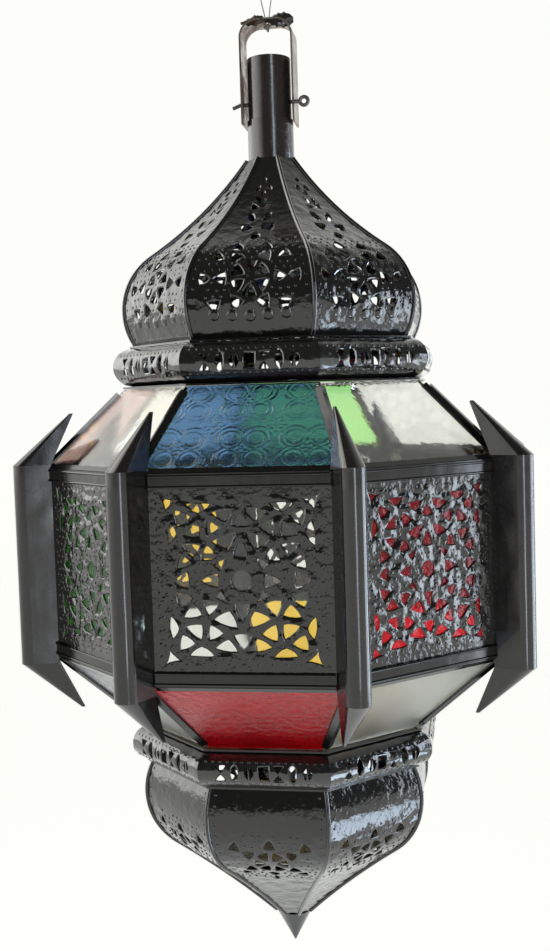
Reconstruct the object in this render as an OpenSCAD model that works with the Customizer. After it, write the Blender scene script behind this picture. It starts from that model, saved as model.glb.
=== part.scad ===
// Hanging lantern of black punched tin and coloured glass, eight sides with hollow fins at the corners.
// Millimetres, +Z up. The origin is the top of the hanging hole in the strap. The front faces -Y.

/* [Hanger] */
// Rise of the strap's top above the pin
strap_rise = 50.5; // [44:0.5:60]
// Width of the strap's band
strap_w = 20; // [14:0.5:24]
// Thickness of the strap's band
strap_t = 1.2; // [0.8:0.1:2]
// Outer corner radius of the strap's arch
strap_corner_r = 11; // [6:0.5:14]
// Play between a strap leg and the neck tube
strap_play = 2; // [1:0.1:3]
// Length of the strap's legs below the pin
strap_tail = 14; // [8:0.5:18]
// Radius of the hanging hole
hang_hole_r = 2.5; // [2:0.1:4]
// Radius of the pin's wire
pin_wire_r = 1.2; // [0.8:0.1:1.6]
// Radius of the middle line of the pin's eye
pin_eye_r = 2.6; // [2:0.1:4]
// Length of the pin's bent tip
pin_tip = 5; // [3:0.5:8]
// Radial play of the pin in its holes
pin_play = 0.05; // [0.02:0.01:0.1]
// Length of the leaf washer on the strap
leaf_l = 24; // [16:0.5:28]
// Width of the leaf washer
leaf_w = 12; // [9:0.5:16]
// Thickness of the leaf washer
leaf_t = 1.6; // [1:0.1:2.5]
// Diameter of the hanging line
line_d = 0.8; // [0.6:0.1:1]

/* [Neck] */
// Outer radius of the neck tube
tube_r = 13.8; // [12:0.1:15]
// Height of the neck tube above the pin
tube_over_pin = 27; // [20:0.5:30]
// Depth of the tube inside its sleeve
tube_lap = 14; // [8:0.5:18]
// Depth of the sleeve's top below the pin
sleeve_under_pin = 11.5; // [6:0.5:14]
// Height of the sleeve above the dome
sleeve_h = 25; // [18:0.5:32]

/* [Body] */
// Distance from the axis to a corner of the glazed body
body_r = 150; // [140:1:160]
// Height of the glazed body
body_h = 115; // [105:1:125]
// Thickness of the tin sheet
tin = 0.8; // [0.6:0.05:1]
// Thickness of the glass
glass = 2; // [1.5:0.1:2.5]
// Corner distance at the top of the upper panes
upper_r = 99.4; // [96:0.2:103]
// Rise of the upper panes
upper_rise = 48; // [44:0.2:52]
// Corner distance at the foot of the lower panes
lower_r = 92.2; // [89:0.2:95]
// Drop of the lower panes
lower_drop = 50.6; // [47:0.2:54]
// Height of the folded rails above and below the punched panels
rail_h = 7.5; // [6:0.1:9]
// Thickness of the rails
rail_t = 1.4; // [1:0.1:2]
// Radius of the beads along the rails
rail_bead_r = 0.8; // [0.5:0.05:1]
// Half width of the bars over the slanted edges
bar_half = 3.2; // [2.6:0.1:3.8]
// Thickness of those bars
bar_t = 1.2; // [0.8:0.1:1.6]
// Height of the ridge along those bars
bar_ridge = 1; // [0.5:0.1:1.5]

/* [Fins] */
// Half width of a fin, and radius of its round nose
fin_half = 7; // [6:0.1:8]
// Reach of a fin beyond the corner
fin_reach = 20; // [16:0.5:24]
// Height of a fin above the body's top rim
fin_over = 2.8; // [1:0.1:4]
// Depth of a fin below the body's bottom rim
fin_under = 6; // [4:0.1:8]
// Distance of the horns' points from the axis
horn_r = 132; // [128:0.5:136]
// Rise of the upper horns above the body's top rim
horn_rise = 34; // [28:0.5:38]
// Drop of the lower horns below the body's bottom rim
horn_drop = 36.5; // [30:0.5:40]

/* [Rolls] */
// Half height of the upper roll
upper_roll_r = 12; // [10:0.1:13]
// Corner distance of the upper roll's outermost line
upper_roll_out = 106; // [103:0.2:110]
// Half height of the lower roll
lower_roll_r = 11; // [9:0.1:12]
// Corner distance of the lower roll's outermost line
lower_roll_out = 103; // [100:0.2:106]
// Thickness of the flat seats and lips between the stages
seat_t = 1.2; // [0.8:0.1:2]
// Width of the flat seats and lips
seat_w = 7; // [5:0.1:9]

/* [Dome and bulb] */
// Corner distance of the dome's widest line
dome_r = 97.7; // [94:0.2:102]
// Radius of the dome's shoulder
dome_shoulder_r = 42; // [38:0.5:46]
// Angle at which the dome's shoulder turns into its flare
dome_turn = 54; // [52:0.5:56]
// Radius of the dome's hollow flare
dome_flare_r = 240; // [220:5:260]
// Height of the dome's widest line above its foot
dome_skirt = 21.5; // [16:0.5:24]
// Corner distance of the bulb's widest line
bulb_r = 95; // [92:0.2:98]
// Radius of the bulb's shoulder
bulb_shoulder_r = 45; // [41:0.5:49]
// Angle at which the bulb's shoulder turns into its flare
bulb_turn = 52; // [50:0.5:54]
// Radius of the bulb's hollow flare
bulb_flare_r = 560; // [520:10:600]
// Depth of the bulb's widest line below its top
bulb_skirt = 20; // [16:0.5:24]
// Radius of the finial cone
finial_r = 12; // [10:0.1:14]
// Height of the finial cone
finial_h = 22; // [18:0.5:26]

/* [Punched pattern] */
// Plain border beside the pattern on a panel
pattern_border = 13.9; // [13:0.1:17]
// Plain border beside the pattern on the door
door_pattern_border = 5.1; // [4.5:0.1:8]
// Width of a curved triangle, as a share of the pattern's side
triangle_share = 0.092; // [0.075:0.001:0.098]
// Radius of the round hole in the middle of a panel
eyelet_r = 4.8; // [3.5:0.1:5.5]
// Width of a curved triangle on the dome and the bulb
gore_triangle_w = 7.4; // [6:0.1:8]
// Height of a slot in the rolls
slot_h = 7; // [5:0.1:9]
// Width of a slot in the rolls
slot_w = 4; // [3:0.1:5]
// Spacing of the slots in the rolls
slot_pitch = 10.5; // [9:0.1:12]

/* [Door] */
// Distance from a side's corner to the door
door_border = 13.8; // [13:0.1:16]
// Gap round the door
door_gap = 0.6; // [0.6:0.05:0.8]
// Radius of a hinge knuckle
knuckle_r = 1.8; // [1.6:0.05:2.2]
// Height of a hinge knuckle
knuckle_h = 5; // [4:0.1:7]
// Radius of the hinge pins
hinge_pin_r = 0.9; // [0.7:0.05:1]
// Radial play of the hinge pins and of the rivet
hinge_play = 0.05; // [0.02:0.01:0.1]
// Distance of each hinge from the door's middle
hinge_offset = 32; // [25:0.5:38]
// Width of a hinge leaf on the door
leaf_reach = 5; // [4:0.1:6]
// Thickness of the hinge leaves
hinge_leaf_t = 0.6; // [0.4:0.05:0.8]
// Length of the latch from its rivet to its tip
latch_l = 9.5; // [8.5:0.1:10]
// Width of the latch
latch_w = 5; // [4:0.1:5]
// Thickness of the latch
latch_t = 1; // [0.8:0.1:1.4]
// Radius of the latch's rivet
rivet_r = 1.3; // [1:0.05:1.6]
// Radius of the rivet's heads
rivet_head_r = 2.3; // [2:0.05:2.4]

/* [Candle holder] */
// Depth of the candle plate below the bulb's widest line
plate_depth = 28; // [22:0.5:32]
// Radius of the drip pan
pan_r = 26; // [20:0.5:34]
// Height of the drip pan's rim
pan_rim = 5; // [3:0.5:8]
// Inner radius of the candle cup
cup_r = 11.5; // [10:0.1:13]
// Height of the candle cup
cup_h = 20; // [14:0.5:26]

/* [Hidden] */
$fn = 64;
SIDES = 8;
half_angle = 180 / SIDES;
// Overrun of every cut, so that it passes its wall
over = 1;
// Gap of a soldered or seated joint
seam = 0.05;
// Gap between a part and one that moves past it
clear = 0.3;

// Heights, from the origin down
z_pin = -strap_rise;
z_tube_top = z_pin + tube_over_pin;
z_sleeve_top = z_pin - sleeve_under_pin;
z_dome_top = z_sleeve_top - sleeve_h;
sleeve_r = tube_r + seam + tin;
strap_half = tube_r + strap_play + strap_t;

// Distances from the axis to the middle of a side
body_a = side_of(body_r);
upper_a = side_of(upper_r);
lower_a = side_of(lower_r);
dome_a = side_of(dome_r);
bulb_a = side_of(bulb_r);
side_half = body_r * sin(half_angle);
door_half = side_half - door_border;

// Sides of the square patterns on a panel and on the door
pattern_w = 2 * (side_half - pattern_border);
door_pattern_w = 2 * (door_half - door_pattern_border);

// The dome: a round shoulder that turns into a hollow flare up to the sleeve
dome_neck_a = sleeve_r + 2 * seam;
dome_c = dome_a - dome_shoulder_r;
dome_flare_end = flare_end(dome_c, dome_shoulder_r, dome_turn, dome_flare_r, dome_neck_a);
dome_rise = flare_rise(dome_shoulder_r, dome_turn, dome_flare_r, dome_flare_end);
z_dome_wide = z_dome_top - dome_rise;
z_dome_foot = z_dome_wide - dome_skirt;

// The stages below the dome
z_roll_top = z_dome_foot - seam - seat_t - seam;
z_roll_foot = z_roll_top - 2 * upper_roll_r;
z_upper = z_roll_foot - seam - seat_t - seam;
z_top = z_upper - upper_rise;
z_bottom = z_top - body_h;
z_lower = z_bottom - lower_drop;
z_low_roll_top = z_lower - seam - seat_t - seam;
z_low_roll_foot = z_low_roll_top - 2 * lower_roll_r;
z_bulb_top = z_low_roll_foot - seam - seat_t - seam;
z_bulb_wide = z_bulb_top - bulb_skirt;
bulb_c = bulb_a - bulb_shoulder_r;
bulb_end_a = finial_r - tin - seam;
bulb_flare_end = flare_end(bulb_c, bulb_shoulder_r, bulb_turn, bulb_flare_r, bulb_end_a);
z_bulb_foot = z_bulb_wide - flare_rise(bulb_shoulder_r, bulb_turn, bulb_flare_r, bulb_flare_end);
z_tip = z_bulb_foot - finial_h;
upper_roll_c = side_of(upper_roll_out) - upper_roll_r;
lower_roll_c = side_of(lower_roll_out) - lower_roll_r;

// Slopes of the panes and of the edges between them, from the vertical
upper_tilt = atan((body_a - upper_a) / upper_rise);
lower_tilt = atan((body_a - lower_a) / lower_drop);
upper_edge_tilt = atan((body_r - upper_r) / upper_rise);
lower_edge_tilt = atan((body_r - lower_r) / lower_drop);
upper_slope = upper_rise / cos(upper_tilt);
lower_slope = lower_drop / cos(lower_tilt);
upper_edge = upper_rise / cos(upper_edge_tilt);
lower_edge = lower_drop / cos(lower_edge_tilt);

// Fins: where a fin's wall meets a side, measured from the corner
fin_foot = fin_half / cos(half_angle);
fin_nose = body_r + fin_reach - fin_half;
rail_half = side_half - fin_foot - clear;

// Vertical glass and its fittings
pane_a = body_a - tin;
pane_margin = 4;
pane_half = (pane_a - glass) * tan(half_angle) - seam - clear;
clip_w = 8;
clip_h = 6;
clip_inset = 14;
post_leg = 8;
post_t = 1;
post_a = pane_a - glass - seam;

// Slanted panes keep this far from the edges beside and below them, and this far from the lip at their end
pane_lap = 1.4;
pane_end_gap = 0.35;
bar_end_gap = 5;
lip_reach = 3.5;

// Door, in the back side
DOOR_SIDE = 4;
door_top = z_top - rail_h - door_gap;
door_foot = z_bottom + rail_h + door_gap;
door_mid = (door_top + door_foot) / 2;
hinge_x = -door_half - door_gap / 2;
hinge_a = body_a + knuckle_r + clear;
latch_inset = 2.9;
latch_x = door_half + door_gap + latch_inset;
latch_z = door_mid;
latch_a = body_a + clear;
door_pane_inset = 1.6;
door_pane_half = door_half - door_pane_inset;
hinge_h = 3 * knuckle_h + 2 * clear;

// Candle holder
z_plate = z_bulb_wide - plate_depth;
plate_a = bulb_c + sqrt(pow(bulb_shoulder_r - tin, 2) - pow(plate_depth + tin, 2)) - seam;
foot_h = 0.6;
cup_floor = 1;

// Places of the punched holes, as shares of half the pattern's side
cell_share = 0.5;
ring_share = 0.185;
corner_triangle_share = 0.945;
diagonal_share = 0.285;
heart_share = 0.405;
line_shares = [0.39, 0.76];
corner_size_share = 0.85;
bulge_share = 0.72;
heart_wide_share = 1.15;
notch_share = 0.1;
// Places on the dome and the bulb, as shares of the shoulder's radius
gore_ring_share = 0.2;
gore_outer_share = 0.41;
gore_top_share = 0.62;
gore_side_share = 0.26;
gore_centre_angle = 12;

// The hanging line: up one strand, round its loop and down the other, to the knot under the strap
knot_r = 2.2;
// Turn of the pin's tip from the pin
pin_bend = 110;
LINE_POINTS = [[-0.9, -4], [-0.9, -1], [-1.2, 2], [-2.4, 8], [-3.7, 14], [-4.8, 20], [-5, 24], [-4.2, 28],
    [-2.2, 30.8], [0, 31.6], [2.2, 30.8], [4.2, 28], [5, 24], [4.4, 20], [3, 14], [1.9, 8], [1.2, 2],
    [0.9, -1], [0.9, -4]];

// Distance of a side from the axis, for a given corner distance
function side_of(r) = r * cos(half_angle);
// Angle at which a flare ends when it reaches the distance a
function flare_end(c, r, turn, flare, a) = acos((c + (r + flare) * cos(turn) - a) / flare);
// Height of a flare's end above the middle of its shoulder
function flare_rise(r, turn, flare, end) = (r + flare) * sin(turn) - flare * sin(end);
// Half of the angle between two neighbouring sides that lean by tilt
function fold_half(tilt) = acos(pow(cos(tilt), 2) * cos(2 * half_angle) + pow(sin(tilt), 2)) / 2;

// One side of the lantern, counted from the front towards +X
module side(i) rotate([0, 0, 2 * half_angle * i]) children();
// One corner, the first between side 0 and side 1
module corner(i) rotate([0, 0, 2 * half_angle * (i + 0.5)]) children();
// A flat outline in [outward, height], drawn out along the side
module along_side(l) rotate([90, 0, -90]) linear_extrude(height = l, center = true) children();
// A flat outline in [along the side, height], its outer face at distance a
module on_side(a, t) translate([0, -a + t, 0]) rotate([90, 0, 0]) linear_extrude(height = t) children();
// A band of eight mitred lengths with the given section
module mitred_band(r) {
    for (i = [0 : SIDES - 1]) side(i) mitre(r) along_side(4 * r) children();
}
module mitre(r) {
    intersection() {
        children();
        translate([0, 0, z_tip - over]) linear_extrude(height = -z_tip + 2 * over) wedge(r);
    }
}
// The slice between two corners, as far out as 2 r
module wedge(r) {
    half = 2 * r * tan(half_angle);
    polygon([[0, -seam], [half, -2 * r - seam], [-half, -2 * r - seam]]);
}
module ring_section(c, z, r) {
    intersection() {
        difference() {
            translate([c, z]) circle(r);
            translate([c, z]) circle(r - tin);
        }
        translate([c, z - r]) square([r, 2 * r]);
    }
}

// A hole with three bulging sides, one point towards +Y
module curved_triangle(w) {
    polygon([for (k = [0 : 5]) let(r = w / sqrt(3) * (k % 2 == 0 ? 1 : bulge_share))
        [-r * sin(60 * k), r * cos(60 * k)]]);
}
// The same with a notch in its broad side
module heart(w) {
    r = w / sqrt(3);
    right = [[r * cos(60) * bulge_share, r * sin(60) * bulge_share], [r * heart_wide_share, -r * cos(60)],
        [r * cos(60), -r * cos(60) * bulge_share]];
    left = [for (k = [2, 1, 0]) [-right[k][0], right[k][1]]];
    polygon(concat([[0, r]], right, [[0, -r * notch_share]], left));
}
module cell_holes(half, w) {
    size = 2 * half;
    for (k = [0 : 5]) rotate(60 * k) translate([0, size * ring_share]) rotate(180) curved_triangle(w);
    for (k = [0 : 3]) rotate(45 + 90 * k) translate([0, size * diagonal_share * sqrt(2)]) curved_triangle(w);
    for (k = [2, 3]) rotate(90 * k) translate([0, size * heart_share]) rotate(180) heart(w);
}
module panel_holes(size, w) {
    half = size / 2;
    circle(eyelet_r);
    for (k = [0 : 3]) rotate(90 * k) {
        translate([-half * cell_share, -half * cell_share]) cell_holes(half * cell_share, w);
        for (s = line_shares) translate([0, -half * s]) rotate(180) curved_triangle(w);
        rotate(45) translate([0, half * corner_triangle_share * sqrt(2)])
            curved_triangle(w * corner_size_share);
    }
}

module hanger_strap() {
    color("dimgray") difference() {
        strap_block(strap_half, 0, strap_corner_r, strap_w);
        strap_block(strap_half - strap_t, -strap_t, strap_corner_r - strap_t, strap_w + 2 * over);
        translate([0, 0, -strap_t - over]) cylinder(h = strap_t + 2 * over, r = hang_hole_r);
        translate([0, 0, z_pin]) rotate([0, 90, 0])
            cylinder(h = 2 * strap_half + 2 * over, r = pin_wire_r + pin_play, center = true);
        translate([0, 0, z_pin - strap_tail - strap_w])
            cube([2 * strap_half + 2 * over, 2 * strap_w, 2 * strap_w], center = true);
    }
}
// A block with round upper corners, standing well below the strap's tails
module strap_block(half, top, corner, w) {
    foot = z_pin - strap_tail - strap_w;
    rotate([90, 0, 0]) linear_extrude(height = w, center = true) {
        translate([-half, foot]) square([2 * half, top - corner - foot]);
        translate([-half + corner, foot]) square([2 * (half - corner), top - foot]);
        for (s = [-1, 1]) translate([s * (half - corner), top - corner]) circle(corner);
    }
}

module strap_leaf() {
    r = (pow(leaf_l / 2, 2) + pow(leaf_w / 2, 2)) / leaf_w;
    color("black") translate([0, 0, seam]) difference() {
        linear_extrude(height = leaf_t) intersection() {
            translate([0, r - leaf_w / 2]) circle(r);
            translate([0, leaf_w / 2 - r]) circle(r);
        }
        translate([0, 0, -over]) cylinder(h = leaf_t + 2 * over, r = hang_hole_r);
    }
}

module hanger_pin() {
    tail = strap_half + 2 * pin_wire_r;
    eye = strap_half + 2 * pin_wire_r + pin_eye_r;
    end_r = pin_wire_r - seam;
    color("gray") translate([0, 0, z_pin]) {
        translate([-tail, 0, 0]) rotate([0, 90, 0]) cylinder(h = tail + eye - pin_eye_r, r = pin_wire_r);
        translate([-tail, 0, 0]) sphere(pin_wire_r + seam);
        translate([-tail, 0, 0]) rotate([0, -pin_bend, 0]) cylinder(h = pin_tip, r = end_r);
        translate([eye, 0, 0]) rotate([90, 0, 0]) rotate_extrude() translate([pin_eye_r, 0]) circle(end_r);
    }
}

// The points with one more on the smooth curve between each two
function smooth(p) = let(n = len(p)) [for (i = [0 : n - 1]) for (q = [p[i],
    i < n - 1 ? (9 * (p[i] + p[i + 1]) - p[max(i - 1, 0)] - p[min(i + 2, n - 1)]) / 16 : undef])
    if (!is_undef(q)) q];
// A round tube swept along points that lie in the XZ plane
module swept_line(points, r, sides) {
    n = len(points);
    function step(i) = points[min(i + 1, n - 1)] - points[max(i - 1, 0)];
    function heading(i) = atan2(step(i)[1], step(i)[0]);
    rings = [for (i = [0 : n - 1]) for (k = [0 : sides - 1])
        let(a = 360 * k / sides, h = heading(i) + 90, u = r * cos(a))
        [points[i][0] + u * cos(h), r * sin(a), points[i][1] + u * sin(h)]];
    walls = [for (i = [0 : n - 2]) for (k = [0 : sides - 1]) let(m = (k + 1) % sides)
        [i * sides + k, i * sides + m, (i + 1) * sides + m, (i + 1) * sides + k]];
    caps = [[for (k = [sides - 1 : -1 : 0]) k], [for (k = [0 : sides - 1]) (n - 1) * sides + k]];
    polyhedron(points = rings, faces = concat(walls, caps), convexity = 6);
}
module hanging_line() {
    color("lightgray") {
        swept_line(smooth(LINE_POINTS), line_d / 2, 8);
        translate([0, 0, -strap_t - seam - knot_r]) sphere(knot_r, $fn = 12);
    }
}

module neck_tube() {
    foot = z_sleeve_top - tube_lap;
    color("black") difference() {
        translate([0, 0, foot]) cylinder(h = z_tube_top - foot, r = tube_r);
        translate([0, 0, foot - over]) cylinder(h = z_tube_top - foot + 2 * over, r = tube_r - tin);
        translate([0, 0, z_pin]) rotate([0, 90, 0])
            cylinder(h = 2 * tube_r + 2 * over, r = pin_wire_r + pin_play, center = true);
    }
}
module neck_sleeve() {
    foot = z_dome_top - 2 * tin;
    color("black") difference() {
        translate([0, 0, foot]) cylinder(h = z_sleeve_top - foot, r = sleeve_r);
        translate([0, 0, foot - over]) cylinder(h = z_sleeve_top - foot + 2 * over, r = tube_r + seam);
    }
}

// Outline of a bellied wall that stands on its foot: shoulder, flare, and back along the inside
function belly(c, r, skirt, turn, flare, end) = let(
    foot = -asin(skirt / r), foot_in = -asin(skirt / (r - tin)), steps = 14,
    cf = c + (r + flare) * cos(turn), zf = (r + flare) * sin(turn),
    end_in = acos(flare * cos(end) / (flare + tin)))
    concat(
        [for (k = [0 : steps]) let(a = foot + (turn - foot) * k / steps) [c + r * cos(a), r * sin(a)]],
        [for (k = [1 : steps]) let(a = turn + (end - turn) * k / steps)
            [cf - flare * cos(a), zf - flare * sin(a)]],
        [for (k = [steps : -1 : 1]) let(a = turn + (end_in - turn) * k / steps)
            [cf - (flare + tin) * cos(a), zf - (flare + tin) * sin(a)]],
        [for (k = [steps : -1 : 0]) let(a = foot_in + (turn - foot_in) * k / steps)
            [c + (r - tin) * cos(a), (r - tin) * sin(a)]]);

// A hole through a shoulder, at u along the side and v up its curve from the middle line
module shoulder_hole(c, r, u, v, turn) {
    translate([0, -c, 0]) rotate([-gore_centre_angle - v / r * 180 / PI, 0, 0])
        translate([u, -r + tin + over, 0]) rotate([90, 0, 0]) linear_extrude(height = tin + 2 * over)
            rotate(turn) curved_triangle(gore_triangle_w);
}
module gore_holes(c, r) {
    ring = r * gore_ring_share;
    outer = r * gore_outer_share;
    for (a = [0 : 60 : 300]) {
        shoulder_hole(c, r, ring * sin(a), ring * cos(a), 180 - a);
        shoulder_hole(c, r, outer * sin(a + 30), outer * cos(a + 30), -a - 30);
    }
    shoulder_hole(c, r, 0, r * gore_top_share + ring / 2, 0);
    for (s = [-1, 1]) shoulder_hole(c, r, s * r * gore_side_share, r * gore_top_share, 180);
}
module gores(a, c, r, skirt, turn, flare, end) {
    for (i = [0 : SIDES - 1]) side(i) difference() {
        intersection() {
            along_side(4 * a) polygon(belly(c, r, skirt, turn, flare, end));
            translate([0, 0, -2 * r]) linear_extrude(height = 6 * r) wedge(a);
        }
        gore_holes(c, r);
    }
}
module dome_gores() {
    color("black") translate([0, 0, z_dome_wide])
        gores(dome_a, dome_c, dome_shoulder_r, dome_skirt, dome_turn, dome_flare_r, dome_flare_end);
}
module bulb_gores() {
    color("black") translate([0, 0, z_bulb_wide]) mirror([0, 0, 1])
        gores(bulb_a, bulb_c, bulb_shoulder_r, bulb_skirt, bulb_turn, bulb_flare_r, bulb_flare_end);
}

// A flat strip of the given width, its outer edge at distance a and its foot at height z
module strip(a, z, w) {
    mitred_band(a) translate([a - w, z]) square([w, seat_t]);
}
module dome_seat() {
    foot_a = dome_c + dome_shoulder_r * cos(asin(dome_skirt / dome_shoulder_r));
    color("black") strip(foot_a + seat_w / 2, z_roll_top + seam, seat_w);
}
module upper_lip() color("black") strip(upper_a + tin, z_upper + seam, seat_w + tin);
module lower_lip() color("black") strip(lower_a + seat_w / 2, z_low_roll_top + seam, seat_w + tin);
module bulb_seat() {
    top_a = bulb_c + bulb_shoulder_r * cos(asin(bulb_skirt / bulb_shoulder_r));
    color("black") strip(top_a + seat_w / 2, z_bulb_top + seam, seat_w);
}

module roll(c, z, r) {
    n = floor((c * tan(half_angle) - slot_w) / slot_pitch);
    for (i = [0 : SIDES - 1]) side(i) difference() {
        mitre(c + r) along_side(4 * c) ring_section(c, z, r);
        for (k = [-n : n]) translate([k * slot_pitch - slot_w / 2, -c - r - over, z - slot_h / 2])
            cube([slot_w, r + over, slot_h]);
    }
}
module upper_roll() color("black") roll(upper_roll_c, z_roll_foot + upper_roll_r, upper_roll_r);
module lower_roll() color("black") roll(lower_roll_c, z_low_roll_foot + lower_roll_r, lower_roll_r);

// Bars with a shallow V under them, which ride over the edges between slanted panes
module edge_bars(z, tilt, edge_tilt, l, up) {
    drop = bar_half * tan(fold_half(tilt));
    for (i = [0 : SIDES - 1]) corner(i) translate([0, -body_r, z]) mirror([0, 0, up ? 0 : 1])
        rotate([-edge_tilt, 0, 0]) translate([0, -seam, 0]) linear_extrude(height = l - bar_end_gap)
            polygon([[0, 0], [bar_half, drop], [bar_half, drop - bar_t], [0, -bar_t - bar_ridge],
                [-bar_half, drop - bar_t], [-bar_half, drop]]);
}
module upper_edge_bars() color("black") edge_bars(z_top, upper_tilt, upper_edge_tilt, upper_edge, true);
module lower_edge_bars() color("black") edge_bars(z_bottom, lower_tilt, lower_edge_tilt, lower_edge, false);

// A folded rail: a flat face with two beads, and a lip over the slanted pane
module rail_section(tilt) {
    translate([body_a, -rail_h]) square([rail_t, rail_h + rail_t / 2]);
    for (z = [-rail_h + rail_bead_r, -rail_bead_r]) translate([body_a + rail_t, z]) circle(rail_bead_r);
    translate([body_a, 0]) rotate(tilt) square([rail_t, lip_reach]);
}
module top_rails() {
    color("black") for (i = [0 : SIDES - 1]) side(i) translate([0, 0, z_top])
        along_side(2 * rail_half) rail_section(upper_tilt);
}
module bottom_rails() {
    color("black") for (i = [0 : SIDES - 1]) side(i) translate([0, 0, z_bottom]) mirror([0, 0, 1])
        along_side(2 * rail_half) rail_section(lower_tilt);
}

module corner_posts() {
    post_r = post_a / cos(half_angle);
    color("black") for (i = [0 : SIDES - 1]) corner(i)
        translate([0, 0, z_bottom + pane_margin]) linear_extrude(height = body_h - 2 * pane_margin)
            polygon([for (q = [[0, 0], [1, 0], [1, 1], [0, 1], [-1, 1], [-1, 0]])
                [q[0] * post_leg * cos(half_angle),
                    -post_r + abs(q[0]) * post_leg * sin(half_angle) + q[1] * post_t / cos(half_angle)]]);
}

module fins() {
    fin_h = body_h + fin_over + fin_under;
    color("black") for (i = [0 : SIDES - 1]) corner(i) {
        difference() {
            translate([0, 0, z_bottom - fin_under]) linear_extrude(height = fin_h) fin_outline();
            translate([0, 0, z_bottom - fin_under - over])
                cylinder(h = fin_h + 2 * over, r = (body_a + seam) / cos(half_angle), $fn = SIDES);
        }
        translate([0, 0, z_top + fin_over + seam]) horn(horn_rise - fin_over - seam);
        translate([0, 0, z_bottom - fin_under - seam]) mirror([0, 0, 1]) horn(horn_drop - fin_under - seam);
    }
}
module fin_outline() {
    back = body_r - fin_half;
    difference() {
        fin_blank(fin_half, back);
        fin_blank(fin_half - tin, back - over);
    }
}
module fin_blank(r, back) {
    translate([0, -fin_nose]) circle(r);
    translate([-r, -fin_nose]) square([2 * r, fin_nose - back]);
}
// A hollow horn, open at its back, that leans in to its point
module horn(h) {
    back = body_r - fin_half * tan(half_angle);
    tip_share = 0.1;
    lean = (back - horn_r) / h;
    multmatrix([[1, 0, 0, 0], [0, 1, lean, -back], [0, 0, 1, 0]])
        linear_extrude(height = h, scale = tip_share) translate([0, back]) difference() {
            fin_blank(fin_half, back);
            fin_blank(fin_half - tin, back - over);
        }
}

module punched_panel(i) {
    color("black") side(i) on_side(body_a, tin) difference() {
        translate([-pane_half - clear, z_bottom + tin]) square([2 * (pane_half + clear), body_h - 2 * tin]);
        translate([0, (z_top + z_bottom) / 2]) panel_holes(pattern_w, triangle_share * pattern_w);
    }
}
module upright_pane(i) {
    side(i) on_side(pane_a, glass)
        translate([-pane_half, z_bottom + pane_margin]) square([2 * pane_half, body_h - 2 * pane_margin]);
}
module upper_pane(i) {
    side(i) translate([0, -body_a, z_top]) rotate([-upper_tilt, 0, 0])
        slanted_pane(upper_slope, upper_tilt, upper_a);
}
module lower_pane(i) {
    side(i) translate([0, -body_a, z_bottom]) mirror([0, 0, 1]) rotate([-lower_tilt, 0, 0])
        slanted_pane(lower_slope, lower_tilt, lower_a);
}
module upper_panes_clear() color("whitesmoke", 0.4) for (i = [1 : 2 : SIDES - 1]) upper_pane(i);
module lower_panes_clear() color("whitesmoke", 0.4) for (i = [1 : 2 : SIDES - 1]) lower_pane(i);
// A pane with its outer face in the slope, inset from the edges of its side
module slanted_pane(l, tilt, end_a) {
    wide = (body_a - pane_lap * sin(tilt)) * tan(half_angle) - pane_lap;
    narrow = (end_a + pane_end_gap * sin(tilt)) * tan(half_angle) - pane_lap;
    end = l - pane_end_gap;
    on_side(0, glass) polygon([[-wide, pane_lap], [wide, pane_lap], [narrow, end], [-narrow, end]]);
}

// Small tabs, soldered inside, that hold the upright panes against the panels
module clips(a, x, z_low, z_high) {
    for (s = [-1, 1]) for (z = [z_low, z_high]) on_side(a, tin)
        translate([s * x - clip_w / 2, z - clip_h / 2]) square([clip_w, clip_h]);
}
module pane_clips() {
    inset = pane_margin + clip_h / 2;
    color("gray") for (i = [0 : SIDES - 1]) if (i != DOOR_SIDE) side(i)
        clips(post_a, pane_half - clip_inset, z_bottom + inset, z_top - inset);
}

module door_frame() {
    color("black") side(DOOR_SIDE) on_side(body_a, tin) difference() {
        translate([-pane_half - clear, z_bottom + tin]) square([2 * (pane_half + clear), body_h - 2 * tin]);
        translate([-door_half - door_gap, door_foot - door_gap])
            square([2 * (door_half + door_gap), door_top - door_foot + 2 * door_gap]);
        translate([latch_x, latch_z]) circle(rivet_r + hinge_play);
    }
}
module door_panel() {
    color("black") side(DOOR_SIDE) on_side(body_a, tin) difference() {
        translate([-door_half, door_foot]) square([2 * door_half, door_top - door_foot]);
        translate([0, door_mid]) panel_holes(door_pattern_w, triangle_share * door_pattern_w);
    }
}
module door_pane() {
    color("whitesmoke", 0.4) side(DOOR_SIDE) on_side(pane_a, glass)
        translate([-door_pane_half, door_foot + tin])
            square([2 * door_pane_half, door_top - door_foot - 2 * tin]);
}
module door_clips() {
    color("gray") side(DOOR_SIDE)
        clips(post_a, door_pane_half - clip_inset, door_foot + clip_h, door_top - clip_h);
}

// A knuckle on the hinge line with its leaf, on the door's side (out = 1) or on the frame's (out = -1)
module knuckle(z, out) {
    difference() {
        union() {
            translate([hinge_x, -hinge_a, z]) cylinder(h = knuckle_h, r = knuckle_r);
            translate([out > 0 ? hinge_x : hinge_x - door_gap - leaf_reach, -body_a - seam - hinge_leaf_t, z])
                cube([door_gap + leaf_reach, hinge_leaf_t, knuckle_h]);
        }
        translate([hinge_x, -hinge_a, z - over])
            cylinder(h = knuckle_h + 2 * over, r = hinge_pin_r + hinge_play);
    }
}
module hinge_leaves() {
    color("gray") side(DOOR_SIDE) for (s = [-1, 1]) for (k = [-1, 1])
        knuckle(door_mid + s * hinge_offset + k * (knuckle_h + clear) - knuckle_h / 2, -1);
}
module door_hinge_leaves() {
    color("gray") side(DOOR_SIDE) for (s = [-1, 1]) knuckle(door_mid + s * hinge_offset - knuckle_h / 2, 1);
}
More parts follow.
